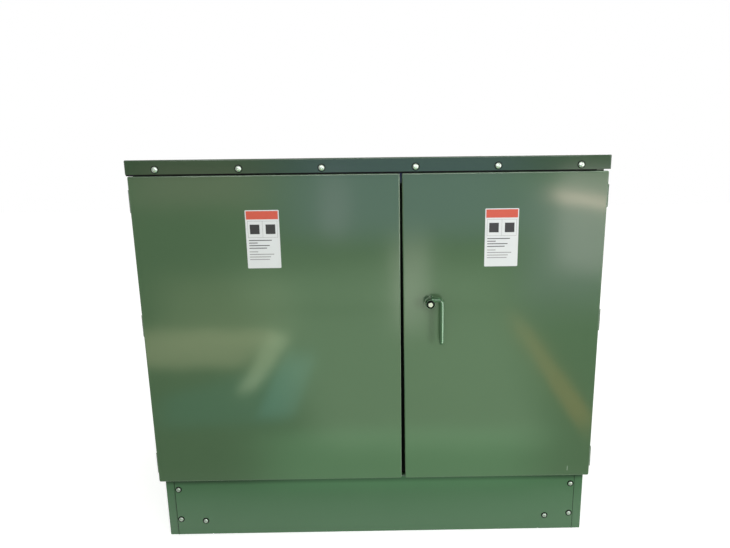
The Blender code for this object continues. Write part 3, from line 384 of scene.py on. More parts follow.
# Fastenings: one Geometry Nodes tree sets a head on each point and turns it to face along the point's "facing"
def fasteningTree():
    tree = bpy.data.node_groups.new("setFastenings", "GeometryNodeTree")
    for name, kind in (("Points", "NodeSocketGeometry"), ("Head", "NodeSocketObject"),
                       ("Finish", "NodeSocketMaterial"), ("Turn Seed", "NodeSocketInt")):
        tree.interface.new_socket(name, in_out="INPUT", socket_type=kind)
    tree.interface.new_socket("Geometry", in_out="OUTPUT", socket_type="NodeSocketGeometry")
    given = addNode(tree, "NodeGroupInput")
    facing = addNode(tree, "GeometryNodeInputNamedAttribute", {"data_type": "FLOAT_VECTOR"}, {"Name": "facing"})
    aligned = addNode(tree, "FunctionNodeAlignRotationToVector", {"axis": "Z"},
                      links={"Vector": facing.outputs["Attribute"]})
    chance = addNode(tree, "FunctionNodeRandomValue", {"data_type": "FLOAT"}, {3: 2 * math.pi},
                     {"Seed": given.outputs["Turn Seed"]})
    spin = addNode(tree, "ShaderNodeCombineXYZ", links={"Z": chance.outputs[1]})
    turn = addNode(tree, "FunctionNodeEulerToRotation", links={"Euler": spin.outputs["Vector"]})
    turned = addNode(tree, "FunctionNodeRotateRotation", {"rotation_space": "LOCAL"},
                     links={"Rotation": aligned.outputs["Rotation"], "Rotate By": turn.outputs["Rotation"]})
    head = addNode(tree, "GeometryNodeObjectInfo", links={"Object": given.outputs["Head"]})
    placed = addNode(tree, "GeometryNodeInstanceOnPoints",
                     links={"Points": given.outputs["Points"], "Instance": head.outputs["Geometry"],
                            "Rotation": turned.outputs["Rotation"]})
    real = addNode(tree, "GeometryNodeRealizeInstances", links={"Geometry": placed.outputs["Instances"]})
    finished = addNode(tree, "GeometryNodeSetMaterial",
                       links={"Geometry": real.outputs["Geometry"], "Material": given.outputs["Finish"]})
    addNode(tree, "NodeGroupOutput", links={"Geometry": finished.outputs["Geometry"]})
    return tree


def lathe(rows, sides):
    # A turned head on +Z: rows of (radius, height) from the seat to the tip; a radius of 0 closes it
    shape = bmesh.new()
    loops = []
    for radius, height in rows:
        count = sides if radius > 0 else 1
        loops.append([shape.verts.new((radius * math.cos(2 * math.pi * k / sides),
                                       radius * math.sin(2 * math.pi * k / sides), height)) for k in range(count)])
    for low, high in zip(loops, loops[1:]):
        for k in range(sides):
            j = (k + 1) % sides
            corners = [low[k % len(low)], low[j % len(low)], high[j % len(high)], high[k % len(high)]]
            shape.faces.new(list(dict.fromkeys(corners)))
    shape.faces.new(loops[0])
    bmesh.ops.recalc_face_normals(shape, faces=shape.faces)
    return shape


def joinedMesh(name, shapes):
    # One mesh of several bmesh shapes, which it frees, with smooth faces and crisp edges
    joined = bmesh.new()
    for shape in shapes:
        part = bpy.data.meshes.new("part")
        shape.to_mesh(part)
        shape.free()
        joined.from_mesh(part)
    mesh = bpy.data.meshes.new(name)
    joined.to_mesh(mesh)
    joined.free()
    mesh.shade_smooth()
    mesh.set_sharp_from_angle(angle=math.radians(sharpDegrees))
    return mesh


def headObject(name, shapes):
    made = bpy.data.objects.new(name, joinedMesh(name, shapes))
    bpy.context.scene.collection.objects.link(made)
    return made


# Profiles in shares of a head's own sizes
headShapes = {
    "domeFoot": [(1.0, 0.0), (1.02, 0.12), (0.98, 0.34)],  # radius, height
    "domeStart": 0.30,
    "domeAngles": (0.45, 0.80, 1.10),
    "socketRadius": 0.30,
    "socket": [(1.0, 0.99), (0.92, 0.55), (0, 0.50)],  # socket radius, height
    "domeSides": 24,
    "hexWasher": (0.98, 0.12),  # radius and thickness, of the width across flats
    "hexSeat": 0.10,
    "hexChamfer": 0.12,
    "washerSides": 20,
}


def domeHead(name, radius, height):
    # Button-head screw: a low dome with a round-bottomed key socket, on its own thin flange
    s = headShapes
    start = s["domeStart"]
    rows = [(radius * share, height * rise) for share, rise in s["domeFoot"]]
    rows += [(radius * math.cos(a), height * (start + (1 - start) * math.sin(a))) for a in s["domeAngles"]]
    rows += [(radius * s["socketRadius"] * share, height * rise) for share, rise in s["socket"]]
    return headObject(name, [lathe(rows, s["domeSides"])])


def hexHead(name, across, height):
    # Hexagon head with a chamfered top, on a plain washer
    s = headShapes
    corner, top = across / math.sqrt(3), across * s["hexWasher"][1] + height
    reach, thick = (across * share for share in s["hexWasher"])
    washer = lathe([(reach, 0.0), (reach, thick), (0, thick)], s["washerSides"])
    head = lathe([(corner, across * s["hexSeat"]), (corner, top - height * s["hexChamfer"]),
                  (corner * (1 - s["hexChamfer"]), top), (0, top)], 6)
    return headObject(name, [washer, head])


# A plain disc, used as painted shade under screw heads
def shadeRingHead(name, radius, thick):
    return headObject(name, [lathe([(radius, 0.0), (radius, thick), (0, thick)], headShapes["domeSides"])])


def addFastenings(name, places, head, finish, body, seed):
    # places are (point, facing) pairs
    mesh = bpy.data.meshes.new(name + "_points")
    mesh.from_pydata([point for point, facing in places], [], [])
    facings = mesh.attributes.new("facing", "FLOAT_VECTOR", "POINT")
    for k, (point, facing) in enumerate(places):
        facings.data[k].vector = facing
    helper = bpy.data.objects.new(name + "_helper", mesh)
    bpy.context.scene.collection.objects.link(helper)
    setter = helper.modifiers.new("setFastenings", "NODES")
    setter.node_group = setFastenings
    sockets = {item.name: item.identifier for item in setFastenings.interface.items_tree if item.in_out == "INPUT"}
    setter[sockets["Head"]] = head
    setter[sockets["Finish"]] = finish
    setter[sockets["Turn Seed"]] = seed
    return addPiece(name, evaluated(helper, name), body)


setFastenings = fasteningTree()
towardsFront, upwards = Vector((0, -1, 0)), Vector((0, 0, 1))
cabinetScrews = {
    "lipX": (0.171, 0.472, 0.775),
    "lipZ": 1.5345,
    "sideY": (0.080, 0.250, 0.420),  # behind the doors' face
    "sillSpots": ((0.824, 0.214), (0.824, 0.075), (0.7207, 0.0655)),  # x and z
    "height": 0.0058,
    "shadeRingThick": 0.0010,
    # washer: the radius of a black ring under each head, painted shade round it
    "hood": {"radius": 0.0113, "washer": 0.0138, "seed": 3},
    "sill": {"radius": 0.0092, "washer": 0.0132, "seed": 5},
}
lipPlaces = [((side * x, lipPlane, cabinetScrews["lipZ"]), towardsFront)
             for x in cabinetScrews["lipX"] for side in (-1, 1)]
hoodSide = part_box("cabinet_hood")[1].x
lipPlaces += [((side * hoodSide, doorPlane + y, cabinetScrews["lipZ"]), Vector((side, 0, 0)))
              for y in cabinetScrews["sideY"] for side in (-1, 1)]
sillPlaces = [((side * x, sillPlane, z), towardsFront) for x, z in cabinetScrews["sillSpots"] for side in (-1, 1)]
templates = []
for kind, places in (("hood", lipPlaces), ("sill", sillPlaces)):
    screw = cabinetScrews[kind]
    head = domeHead(kind + "Head", screw["radius"], cabinetScrews["height"])
    washer = shadeRingHead(kind + "Washer", screw["washer"], cabinetScrews["shadeRingThick"])
    addFastenings(kind + "_screws", places, head, stainless, "frame", screw["seed"])
    # black rings under the screws' heads: painted shade round them
    addFastenings(kind + "_screw_washers", places, washer, shadeBlack, "frame", screw["seed"])
    templates += [head, washer]

tankBolts = {"pitch": 0.115, "edge": 0.018, "frontEdge": 0.06, "across": 0.019, "height": 0.0085, "seed": 7}
coverLow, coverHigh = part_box("tank_cover")


def coverPlaces():
    # Along the cover's two sides and rear, inside its edge
    edge, pitch = tankBolts["edge"], tankBolts["pitch"]
    x0, x1 = coverLow.x + edge, coverHigh.x - edge
    y0, y1 = coverLow.y + tankBolts["frontEdge"], coverHigh.y - edge
    across, along = round((x1 - x0) / pitch), round((y1 - y0) / pitch)
    spots = [(x0 + (x1 - x0) * k / across, y1) for k in range(across + 1)]
    spots += [(x, y0 + (y1 - y0) * k / along) for k in range(along) for x in (x0, x1)]
    return [((x, y, coverHigh.z), upwards) for x, y in spots]


coverHead = hexHead("coverHead", tankBolts["across"], tankBolts["height"])
addFastenings("tank_cover_bolts", coverPlaces(), coverHead, galvanised, "frame", tankBolts["seed"])

handholeBolts = {"count": 12, "edge": 0.016, "seed": 9}
holeLow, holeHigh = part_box("handhole_cover")
holeCentre = (holeLow + holeHigh) / 2
holeRadius = (holeHigh.x - holeLow.x) / 2 - handholeBolts["edge"]
holeTurns = [2 * math.pi * k / handholeBolts["count"] for k in range(handholeBolts["count"])]
handholePlaces = [((holeCentre.x + holeRadius * math.cos(a), holeCentre.y + holeRadius * math.sin(a), holeHigh.z),
                   upwards) for a in holeTurns]
addFastenings("handhole_bolts", handholePlaces, coverHead, galvanised, "frame", handholeBolts["seed"])

flangeBolts = {"count": 4, "across": 0.010, "height": 0.005, "hvCircle": 0.0515, "lvCircle": 0.0385,
               "hvOut": 0.0122, "lvOut": 0.0143, "seed": 11}
flangeHead = hexHead("flangeHead", flangeBolts["across"], flangeBolts["height"])
flangePlaces = []
for nodeName in sorted(nodes):
    kind = nodeName[:2]
    if kind in ("hv", "lv"):
        low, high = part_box(nodeName)
        centre, reach = (low + high) / 2, flangeBolts[kind + "Circle"]
        for k in range(flangeBolts["count"]):
            angle = math.pi / 4 + 2 * math.pi * k / flangeBolts["count"]
            flangePlaces.append(((centre.x + reach * math.cos(angle), platePlane - flangeBolts[kind + "Out"],
                                  centre.z + reach * math.sin(angle)), towardsFront))
addFastenings("bushing_clamp_bolts", flangePlaces, flangeHead, galvanised, "frame", flangeBolts["seed"])
for template in (*templates, coverHead, flangeHead):
    bpy.data.objects.remove(template, do_unlink=True)
print("stage: fastenings")


# Dark strips of painted shade for the dark lines round the doors: a black strip inside the hood's lip, just above
# the doors' heads, another on the barrier's edge, behind the doors' seam, and a black bead up each end of the sill
shadeStrips = {
    "rounding": 0.0006, "roundingSteps": 2,
    "lipLeftEnd": 0.0030, "lipRightEnd": 0.0520, "lipBack": 0.0030, "lipDeep": 0.0070, "lipUp": 0.0015,
    "lipDown": 0.0052,
    "beadWide": 0.0022, "beadDeep": 0.0030, "beadProud": 0.0004, "beadEnd": 0.001, "beadAside": 0.0006,
    "stripLeft": 0.0040, "stripRight": 0.0100, "stripDeep": 0.0220, "stripClear": 0.0030, "stripOff": 0.0001,
}


def roundedBar(low, high, rounding):
    shape = bmesh.new()
    size, centre = Vector(high) - Vector(low), (Vector(high) + Vector(low)) / 2
    bmesh.ops.create_cube(shape, size=1.0, matrix=Matrix.Translation(centre) @ Matrix.Diagonal(size.to_4d()))
    bmesh.ops.bevel(shape, geom=shape.edges[:], offset=rounding, segments=shadeStrips["roundingSteps"],
                    affect="EDGES")
    return shape


def addBars(name, bars, finish, body, rounding=shadeStrips["rounding"]):
    mesh = joinedMesh(name, [roundedBar(low, high, rounding) for low, high in bars])
    mesh.materials.append(finish)
    return addPiece(name, mesh, body)


hoodLow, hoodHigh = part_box("cabinet_hood")
lipFront = lipPlane + shadeStrips["lipBack"]
lipShadeStrip = [((hoodLow.x + shadeStrips["lipLeftEnd"], lipFront, hoodLow.z - shadeStrips["lipDown"]),
            (hoodHigh.x - shadeStrips["lipRightEnd"], lipFront + shadeStrips["lipDeep"], hoodLow.z + shadeStrips["lipUp"]))]
addBars("hood_lip_seal", lipShadeStrip, shadeBlack, "frame")
sillLow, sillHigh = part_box("front_sill")
beadMiddles = (sillLow.x - shadeStrips["beadAside"], sillHigh.x + shadeStrips["beadAside"])
sillShadeBeads = [((x - shadeStrips["beadWide"] / 2, sillPlane - shadeStrips["beadProud"], sillLow.z + shadeStrips["beadEnd"]),
              (x + shadeStrips["beadWide"] / 2, sillPlane + shadeStrips["beadDeep"], sillHigh.z - shadeStrips["beadEnd"]))
             for x in beadMiddles]
addBars("sill_end_beads", sillShadeBeads, shadeBlack, "frame")
barrierLow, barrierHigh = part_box("compartment_barrier")
stripFoot, stripHead = sillHigh.z + shadeStrips["stripClear"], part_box("door_header")[0].z - shadeStrips["stripClear"]
seamShadeStrip = [((barrierLow.x - shadeStrips["stripLeft"], barrierLow.y - shadeStrips["stripDeep"], stripFoot),
              (barrierHigh.x + shadeStrips["stripRight"], barrierLow.y - shadeStrips["stripOff"], stripHead))]
addBars("barrier_edge_strip", seamShadeStrip, shadeBlack, "frame")
# A scratch down to bare primer, low on the right door
scratch = {"x": 0.7925, "z": (0.2980, 0.3180), "wide": 0.0016, "proud": 0.0001, "rounding": 0.00004}
scratches = [((scratch["x"], doorPlane - scratch["proud"], scratch["z"][0]),
              (scratch["x"] + scratch["wide"], doorPlane + scratch["proud"], scratch["z"][1]))]
addBars("door_scratch", scratches, primer, "right_door", scratch["rounding"])
print("stage: seals")


# Stickers on the doors: plain film with a coloured band, two filled squares and blank ruled rows. Each row is
# its share of the width and the place of its ink among the sticker's finishes
sticker = {
    "left": (-0.3999, 1.2734), "right": (0.4938, 1.2685),  # x and z of the middle
    "wide": 0.1257, "tall": 0.2192, "corner": 0.003, "cornerSteps": 4,
    "seat": 0.0001, "film": 0.0002, "ink": 0.00004,  # the gap to the door, then how thick the film and ink are
    "border": 0.0035, "bandTall": 0.031,
    "boxTall": 0.062, "boxDrop": 0.006, "boxInset": 0.004, "line": 0.0009,
    "square": 0.036, "squareInset": 0.002,
    "rowDrop": 0.012, "rowInset": 0.006, "rowPitch": 0.0098, "rowThick": 0.0030, "greyDrop": 0.004,
    "rows": [(0.80, 3), (0.30, 3), (0.72, 3), (0.62, 3), (0.30, 2), (0.86, 2), (0.74, 2), (0.70, 2)],
}


def addPlate(shape, outline, near, far, finish):
    # A thin upright plate over an outline of (x, z) points, its front face at the smaller y
    front = [shape.verts.new((x, near, z)) for x, z in outline]
    back = [shape.verts.new((x, far, z)) for x, z in outline]
    faces = [shape.faces.new(front), shape.faces.new(back)]
    for k in range(len(outline)):
        j = (k + 1) % len(outline)
        faces.append(shape.faces.new((front[k], front[j], back[j], back[k])))
    for face in faces:
        face.material_index = finish


def upright(x0, x1, z0, z1):
    return [(x0, z0), (x1, z0), (x1, z1), (x0, z1)]


def roundedOutline(x0, x1, z0, z1, corner):
    outline = []
    for cx, cz, quarter in ((x1 - corner, z1 - corner, 0), (x0 + corner, z1 - corner, 1),
                            (x0 + corner, z0 + corner, 2), (x1 - corner, z0 + corner, 3)):
        turns = [math.pi / 2 * (quarter + k / sticker["cornerSteps"]) for k in range(sticker["cornerSteps"] + 1)]
        outline += [(cx + corner * math.cos(turn), cz + corner * math.sin(turn)) for turn in turns]
    return outline


def addSticker(name, centre, body):
    s = sticker
    middle, face = centre[0], doorPlane - s["seat"] - s["film"]
    x0, x1 = middle - s["wide"] / 2, middle + s["wide"] / 2
    z0, z1 = centre[1] - s["tall"] / 2, centre[1] + s["tall"] / 2
    shape = bmesh.new()
    addPlate(shape, roundedOutline(x0, x1, z0, z1, s["corner"]), face, doorPlane - s["seat"], 0)
    left, right, bandTop = x0 + s["border"], x1 - s["border"], z1 - s["border"]
    bandFoot = bandTop - s["bandTall"]
    boxLeft, boxRight = left + s["boxInset"], right - s["boxInset"]
    boxTop, boxFoot = bandFoot - s["boxDrop"], bandFoot - s["boxDrop"] - s["boxTall"]
    marks = [(left, right, bandFoot, bandTop, 1)]
    marks += [(boxLeft, boxRight, z, z + s["line"], 2) for z in (boxTop - s["line"], boxFoot)]
    marks += [(x, x + s["line"], boxFoot, boxTop, 2)
              for x in (boxLeft, boxRight - s["line"], middle - s["line"] / 2)]
    half, aside, level = s["square"] / 2, s["wide"] / 4 - s["squareInset"], (boxTop + boxFoot) / 2
    marks += [(x - half, x + half, level - half, level + half, 3) for x in (middle - aside, middle + aside)]
    rowLeft, rowRight = left + s["rowInset"], right - s["rowInset"]
    for k, (share, ink) in enumerate(s["rows"]):
        z = boxFoot - s["rowDrop"] - s["rowPitch"] * k - (s["greyDrop"] if ink == 2 else 0)
        marks.append((rowLeft, rowLeft + (rowRight - rowLeft) * share, z, z + s["rowThick"], ink))
    for *edges, ink in marks:
        addPlate(shape, upright(*edges), face - s["ink"], face, ink)
    bmesh.ops.recalc_face_normals(shape, faces=shape.faces)
    mesh = bpy.data.meshes.new(name)
    shape.to_mesh(mesh)
    shape.free()
    for finish in (vinyl, orangeInk, greyInk, blackInk):
        mesh.materials.append(finish)
    return addPiece(name, mesh, body)


addSticker("sticker_left", sticker["left"], "left_door")
addSticker("sticker_right", sticker["right"], "right_door")
print("stage: stickers")


# Dials: a white face with ticks, plain numbers and a red pointer, inside each gauge's bezel
dial = {
    "radius": 0.0415, "recess": 0.004, "sides": 40, "sweep": 250.0,
    "back": 0.0002, "face": 0.0006, "tick": 0.0008, "pointer": 0.0014, "markThick": 0.0002,  # out from the recess
    "tickOut": 0.038, "longTick": (0.005, 0.0010), "shortTick": (0.003, 0.0006),  # length and width
    "pointerTail": 0.010, "pointerShort": 0.006, "pointerWide": 0.0018,
    "letter": 0.0085, "letterAt": 0.0275, "letterOut": 0.0007, "letterThick": 0.0001,
}
dialFaces = {
    "oil_level_gauge": {"numbers": ["0", "1", "2", "3", "4"], "ticks": 21, "pointer": 0.55},
    "oil_thermometer": {"numbers": ["0", "30", "60", "90", "120"], "ticks": 25, "pointer": 0.30},
}


def dialAngle(share):
    return math.radians(90 + dial["sweep"] / 2 - dial["sweep"] * share)


def addMark(shape, centre, share, inside, outside, wide, near, finish):
    # A straight mark along a radius, at a share of the dial's sweep
    right, up = math.cos(dialAngle(share)), math.sin(dialAngle(share))
    corners = ((inside, -wide / 2), (outside, -wide / 2), (outside, wide / 2), (inside, wide / 2))
    outline = [(centre[0] + right * reach - up * aside, centre[1] + up * reach + right * aside)
               for reach, aside in corners]
    addPlate(shape, outline, near, near + dial["markThick"], finish)


def addDial(nodeName, face):
    low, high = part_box(nodeName)
    centre, y = ((low.x + high.x) / 2, (low.z + high.z) / 2), low.y + dial["recess"]
    turns = [2 * math.pi * k / dial["sides"] for k in range(dial["sides"])]
    rim = [(centre[0] + dial["radius"] * math.cos(a), centre[1] + dial["radius"] * math.sin(a)) for a in turns]
    shape = bmesh.new()
    addPlate(shape, rim, y - dial["face"], y - dial["back"], 0)
    lastTick, tickOut = face["ticks"] - 1, dial["tickOut"]
    for k in range(face["ticks"]):
        length, wide = dial["longTick"] if k % (lastTick // 4) == 0 else dial["shortTick"]
        addMark(shape, centre, k / lastTick, tickOut - length, tickOut, wide, y - dial["tick"], 1)
    addMark(shape, centre, face["pointer"], -dial["pointerTail"], tickOut - dial["pointerShort"],
            dial["pointerWide"], y - dial["pointer"], 2)
    bmesh.ops.recalc_face_normals(shape, faces=shape.faces)
    for k, number in enumerate(face["numbers"]):
        angle = dialAngle(k / (len(face["numbers"]) - 1))
        text = bpy.data.curves.new("number", "FONT")
        text.body, text.size, text.align_x, text.align_y = number, dial["letter"], "CENTER", "CENTER"
        text.extrude = dial["letterThick"]
        helper = bpy.data.objects.new("number", text)
        bpy.context.scene.collection.objects.link(helper)
        letters = evaluated(helper, "number")
        spot = Vector((centre[0] + dial["letterAt"] * math.cos(angle), y - dial["letterOut"],
                       centre[1] + dial["letterAt"] * math.sin(angle)))
        letters.transform(Matrix.Translation(spot) @ Matrix.Rotation(math.pi / 2, 4, "X"))
        for polygon in letters.polygons:
            polygon.material_index = 1
        shape.from_mesh(letters)
    mesh = bpy.data.meshes.new(nodeName + "_dial")
    shape.to_mesh(mesh)
    shape.free()
    for finish in (vinyl, blackInk, redInk):
        mesh.materials.append(finish)
    return addPiece(nodeName + "_dial", mesh, "frame")


for nodeName, face in dialFaces.items():
    addDial(nodeName, face)
print("stage: dials")


# Camera, fitted to the edges of the doors and hood in the photograph
camera = {
    "place": (0.0512, -2.0387, 1.5624),  # y is from the doors' face
    "yaw": 0.414,
    "pitch": 11.7006,
    "roll": -0.7009,
    "focalPixels": 548.0,
    "imageWide": 730.0,
    "axisRight": 23.04,  # pixels from the picture's middle to the optical axis
    "axisUp": 1.42,
    "sensorMillimetres": 36.0,
}


def addCamera():
    yaw, pitch, roll = (math.radians(camera[k]) for k in ("yaw", "pitch", "roll"))
    ahead = Vector((math.sin(yaw) * math.cos(pitch), math.cos(yaw) * math.cos(pitch), -math.sin(pitch)))
    level = Vector((math.cos(yaw), -math.sin(yaw), 0.0))
    plumb = level.cross(ahead)
    right = level * math.cos(roll) + plumb * math.sin(roll)
    up = plumb * math.cos(roll) - level * math.sin(roll)
    lens = bpy.data.cameras.new("photoCamera")
    lens.sensor_width = camera["sensorMillimetres"]
    lens.lens = camera["focalPixels"] / camera["imageWide"] * camera["sensorMillimetres"]
    lens.shift_x = -camera["axisRight"] / camera["imageWide"]
    lens.shift_y = -camera["axisUp"] / camera["imageWide"]
    made = bpy.data.objects.new("photoCamera", lens)
    x, y, z = camera["place"]
    turn = Matrix((right, up, -ahead)).transposed().to_4x4()
    made.matrix_world = Matrix.Translation((x, doorPlane + y, z)) @ turn
    bpy.context.scene.collection.objects.link(made)
    bpy.context.scene.camera = made


def addLamp(name, place, aim, size, radiance, seenIn, colour="FFFFFF"):
    # Radiance 1 is as bright as the white backdrop; seenIn is "light", "gloss" or "both"
    lamp = bpy.data.lights.new(name, "AREA")
    lamp.shape = "RECTANGLE"
    lamp.size, lamp.size_y = size
    lamp.energy = radiance * math.pi * size[0] * size[1]
    lamp.color = linear(colour)[:3]
    made = bpy.data.objects.new(name, lamp)
    turn = (Vector(aim) - Vector(place)).to_track_quat("-Z", "Y").to_matrix().to_4x4()
    made.matrix_world = Matrix.Translation(place) @ turn
    made.visible_camera = False
    made.visible_diffuse = seenIn != "gloss"
    made.visible_glossy = seenIn != "light"
    bpy.context.scene.collection.objects.link(made)
    return made


studio = {"sky": 0.55, "backdrop": 1.0, "floorHalf": 15.0, "floorTone": "F4F4F2", "floorRough": 0.9,
          "floorGlow": 0.55}


def backdropSeen(tree):
    # 1 for the rays that show the backdrop: to the camera, in gloss and through glass
    path = addNode(tree, "ShaderNodeLightPath")
    first = addNode(tree, "ShaderNodeMath", {"operation": "MAXIMUM"},
                    links={0: path.outputs["Is Camera Ray"], 1: path.outputs["Is Glossy Ray"]})
    both = addNode(tree, "ShaderNodeMath", {"operation": "MAXIMUM"},
                   links={0: first.outputs["Value"], 1: path.outputs["Is Transmission Ray"]})
    return both.outputs["Value"]


def addWorld():
    # The object is lit by a plain white sky; the camera, gloss and glass see a white backdrop
    world = bpy.data.worlds.new("studio")
    bpy.context.scene.world = world
    world.use_nodes = True
    tree = world.node_tree
    tree.nodes.clear()
    sky, backdrop = (addNode(tree, "ShaderNodeBackground",
                             inputs={"Color": (1, 1, 1, 1), "Strength": studio[kind]})
                     for kind in ("sky", "backdrop"))
    mixed = addNode(tree, "ShaderNodeMixShader",
                    links={"Fac": backdropSeen(tree), 1: sky.outputs[0], 2: backdrop.outputs[0]})
    addNode(tree, "ShaderNodeOutputWorld", links={"Surface": mixed.outputs["Shader"]})


def addFloor():
    # White where nothing shades it; the object's soft shadow stays
    mesh = bpy.data.meshes.new("floor")
    half = studio["floorHalf"]
    mesh.from_pydata([(-half, -half, 0), (half, -half, 0), (half, half, 0), (-half, half, 0)], [], [(0, 1, 2, 3)])
    made = bpy.data.objects.new("floor", mesh)
    bpy.context.scene.collection.objects.link(made)
    paint, tree = newMaterial("paleFloor")
    glow = addNode(tree, "ShaderNodeMath", {"operation": "MULTIPLY"}, {1: studio["floorGlow"]},
                   {0: backdropSeen(tree)})
    shader = addNode(tree, "ShaderNodeBsdfPrincipled",
                     inputs={"Base Color": linear(studio["floorTone"]), "Roughness": studio["floorRough"],
                             "Emission Color": (1, 1, 1, 1)},
                     links={"Emission Strength": glow.outputs["Value"]})
    finishMaterial(tree, shader)
    mesh.materials.append(paint)


def mirroredPoint(x, z, away, lift):
    # Where something stands, at most a distance in front of the doors, for its reflection to show at x, z on
    # them; what would be below the floor lies on it
    eyeX, eyeY, eyeZ = camera["place"]
    drop = (eyeZ - z) / -eyeY
    reach = min(away, (z - lift) / drop) if drop > 0 else away
    return eyeX + (x - eyeX) * (reach - eyeY) / -eyeY, doorPlane - reach, z - drop * reach


# What would be below the floor lies on it, each card a step above the one before
sheet = {"steps": 18, "liftStart": 0.008, "liftStep": 0.002, "flagTone": "060606"}


def addCard(name, corners, away, soft, lift, glow=None):
    # A studio card that only reflections see, as a sheet over four corners on the doors' face. With a glow it is
    # a soft-edged light that lets what stands behind it show; without one it is a black flag
    mesh = bpy.data.meshes.new(name)
    steps = sheet["steps"]
    points, shares = [], []
    for j in range(steps + 1):
        for i in range(steps + 1):
            u, v = i / steps, j / steps
            low = [a + (b - a) * u for a, b in zip(corners[0], corners[1])]
            high = [a + (b - a) * u for a, b in zip(corners[3], corners[2])]
            points.append(mirroredPoint(*(a + (b - a) * v for a, b in zip(low, high)), away, lift))
            edges = [min(1.0, min(w, 1 - w) / soft) for w in (u, v)]
            shares.append(math.prod(e * e * (3 - 2 * e) for e in edges))
    row = steps + 1
    quads = [(j * row + i, j * row + i + 1, (j + 1) * row + i + 1, (j + 1) * row + i)
             for j in range(steps) for i in range(steps)]
    mesh.from_pydata(points, [], quads)
    mesh.attributes.new("fade", "FLOAT", "POINT").data.foreach_set("value", shares)
    made = bpy.data.objects.new(name, mesh)
    bpy.context.scene.collection.objects.link(made)
    card, tree = newMaterial(name)
    fade = addNode(tree, "ShaderNodeAttribute", {"attribute_name": "fade"}).outputs["Fac"]
    clear = addNode(tree, "ShaderNodeBsdfTransparent").outputs["BSDF"]
    if glow:
        level = addNode(tree, "ShaderNodeMath", {"operation": "MULTIPLY"}, {1: glow[1]}, {0: fade})
        light = addNode(tree, "ShaderNodeEmission", inputs={"Color": linear(glow[0])},
                        links={"Strength": level.outputs["Value"]})
        shader = addNode(tree, "ShaderNodeAddShader", links={0: light.outputs["Emission"], 1: clear})
    else:
        dark = addNode(tree, "ShaderNodeBsdfDiffuse", inputs={"Color": linear(sheet["flagTone"])})
        shader = addNode(tree, "ShaderNodeMixShader", links={"Fac": fade, 1: clear, 2: dark.outputs["BSDF"]})
    finishMaterial(tree, shader)
    mesh.materials.append(card)
    made.visible_camera = made.visible_diffuse = made.visible_shadow = made.visible_transmission = False


flag = {"corners": upright(-1.50, 1.45, 0.02, 1.94), "away": 4.4, "soft": 0.15, "lift": 0.004}
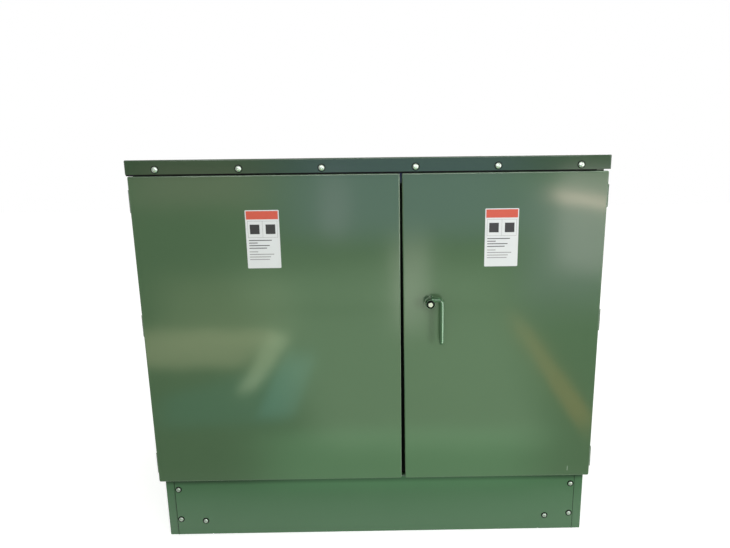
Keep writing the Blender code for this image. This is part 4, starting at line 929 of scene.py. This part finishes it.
# Cards in front of the doors, each given by where its reflection shows on them: they bring out the enamel's gloss
cards = {
    "openCard": {"corners": [(-0.30, 0.34), (0.84, 0.34), (0.64, 1.25), (-0.66, 1.25)], "away": 3.8,
                 "glow": ("DFFFD8", 1.26), "soft": 0.20},
    "lowCard": {"corners": upright(-0.62, 0.84, 0.16, 0.54), "away": 3.6,
                "glow": ("ABFFBC", 1.22), "soft": 0.25},
    "leftCard": {"corners": upright(-0.92, -0.22, 0.80, 1.20), "away": 3.4,
                 "glow": ("FBFFCA", 0.85), "soft": 0.35},
    "warmBandCard": {"corners": [(-0.96, 0.775), (-0.50, 0.765), (-0.33, 0.925), (-0.95, 0.935)], "away": 2.6,
                     "glow": ("FFF9C7", 2.2), "soft": 0.10},
    "slantCard": {"corners": [(-0.56, 0.64), (-0.47, 0.66), (-0.29, 0.90), (-0.39, 0.94)], "away": 2.4,
                  "glow": ("F1FFD0", 3.4), "soft": 0.17},
    "tealCard": {"corners": [(-0.92, 0.50), (-0.30, 0.50), (-0.22, 0.86), (-0.92, 0.64)], "away": 2.8,
                 "glow": ("38E4F0", 0.42), "soft": 0.20},
    "rightTealCard": {"corners": [(-0.50, 0.53), (-0.31, 0.52), (-0.19, 0.84), (-0.34, 0.85)], "away": 2.7,
                      "glow": ("A4FFFF", 1.05), "soft": 0.22},
    "brightBandCard": {"corners": [(0.62, 1.41), (0.98, 1.35), (0.98, 1.41), (0.64, 1.47)], "away": 3.0,
                       "glow": ("FFDFC8", 8.2), "soft": 0.30},
    "tallPaleCard": {"corners": upright(0.66, 1.02, 1.08, 1.58), "away": 3.2,
                     "glow": ("FFF4F3", 2.32), "soft": 0.22},
    "sideSpillCard": {"corners": upright(0.50, 1.00, 0.90, 1.58), "away": 3.3,
                      "glow": ("D8D0FF", 1.1), "soft": 0.32},
    "coolTopCard": {"corners": upright(-0.50, 0.78, 1.22, 1.68), "away": 3.9,
                    "glow": ("9C98FF", 1.15), "soft": 0.28},
    "paleCard": {"corners": upright(-1.00, -0.26, 1.36, 1.60), "away": 4.0,
                 "glow": ("FFCED3", 0.76), "soft": 0.34},
    "streakCard": {"corners": upright(-0.22, -0.04, 1.22, 1.56), "away": 3.5,
                   "glow": ("F0E0E8", 1.0), "soft": 0.38},
    "seamSideCard": {"corners": upright(0.05, 0.26, 0.84, 1.36), "away": 3.1,
                     "glow": ("FFFBF1", 2.13), "soft": 0.36},
    "amberCard": {"corners": [(0.865, 0.40), (0.97, 0.46), (0.525, 1.03), (0.490, 1.01)], "away": 2.5,
                  "glow": ("FFAC34", 1.85), "soft": 0.24},
}
# Studio lamps light the whole object, and give its bends and turned parts their bright edges
studioLamps = {
    "keyPanel": {"place": (3.6, -3.7, 1.3), "aim": (0, -0.6, 0.9), "size": (1.0, 2.4), "radiance": 10.0,
                 "seenIn": "both"},
    "topPanel": {"place": (0.0, -4.2, 3.4), "aim": (0, -0.7, 0.9), "size": (3.0, 1.2), "radiance": 3.4,
                 "seenIn": "light"},
    "edgeStrip": {"place": (0.0, -4.0, 2.5), "aim": (0, -0.7, 1.5), "size": (4.0, 1.2), "radiance": 7.0,
                  "seenIn": "gloss"},
    "lowFill": {"place": (0.25, -2.3, 0.62), "aim": (0.1, -0.7, 0.7), "size": (0.9, 0.6), "radiance": 1.6,
                "seenIn": "light"},
    "rearPanel": {"place": (2.4, 4.2, 3.2), "aim": (0, 0.4, 0.8), "size": (2.4, 1.6), "radiance": 3.0,
                  "seenIn": "both"},
}
# A strip for the latch alone, which turns its round bar's right side pale
latchStrip = {"place": (1.80, doorPlane - 1.15, 0.45), "aim": hub, "size": (1.5, 1.2), "radiance": 17.0,
              "seenIn": "gloss", "colour": "EAFFEC"}

addCamera()
addWorld()
addFloor()
addCard("flag", **flag)
for k, (cardName, card) in enumerate(cards.items()):
    addCard(cardName, **card, lift=sheet["liftStart"] + sheet["liftStep"] * k)
for lampName, lamp in studioLamps.items():
    addLamp(lampName, **lamp)
latchPieces = bpy.data.collections.new("latchPieces")
for pieceName in ("door_handle_skin", "latch_collar_skin"):
    latchPieces.objects.link(bpy.data.objects[pieceName])
addLamp("latchStrip", **latchStrip).light_linking.receiver_collection = latchPieces
bpy.context.scene.view_settings.view_transform = "Standard"
print("stage: studio")
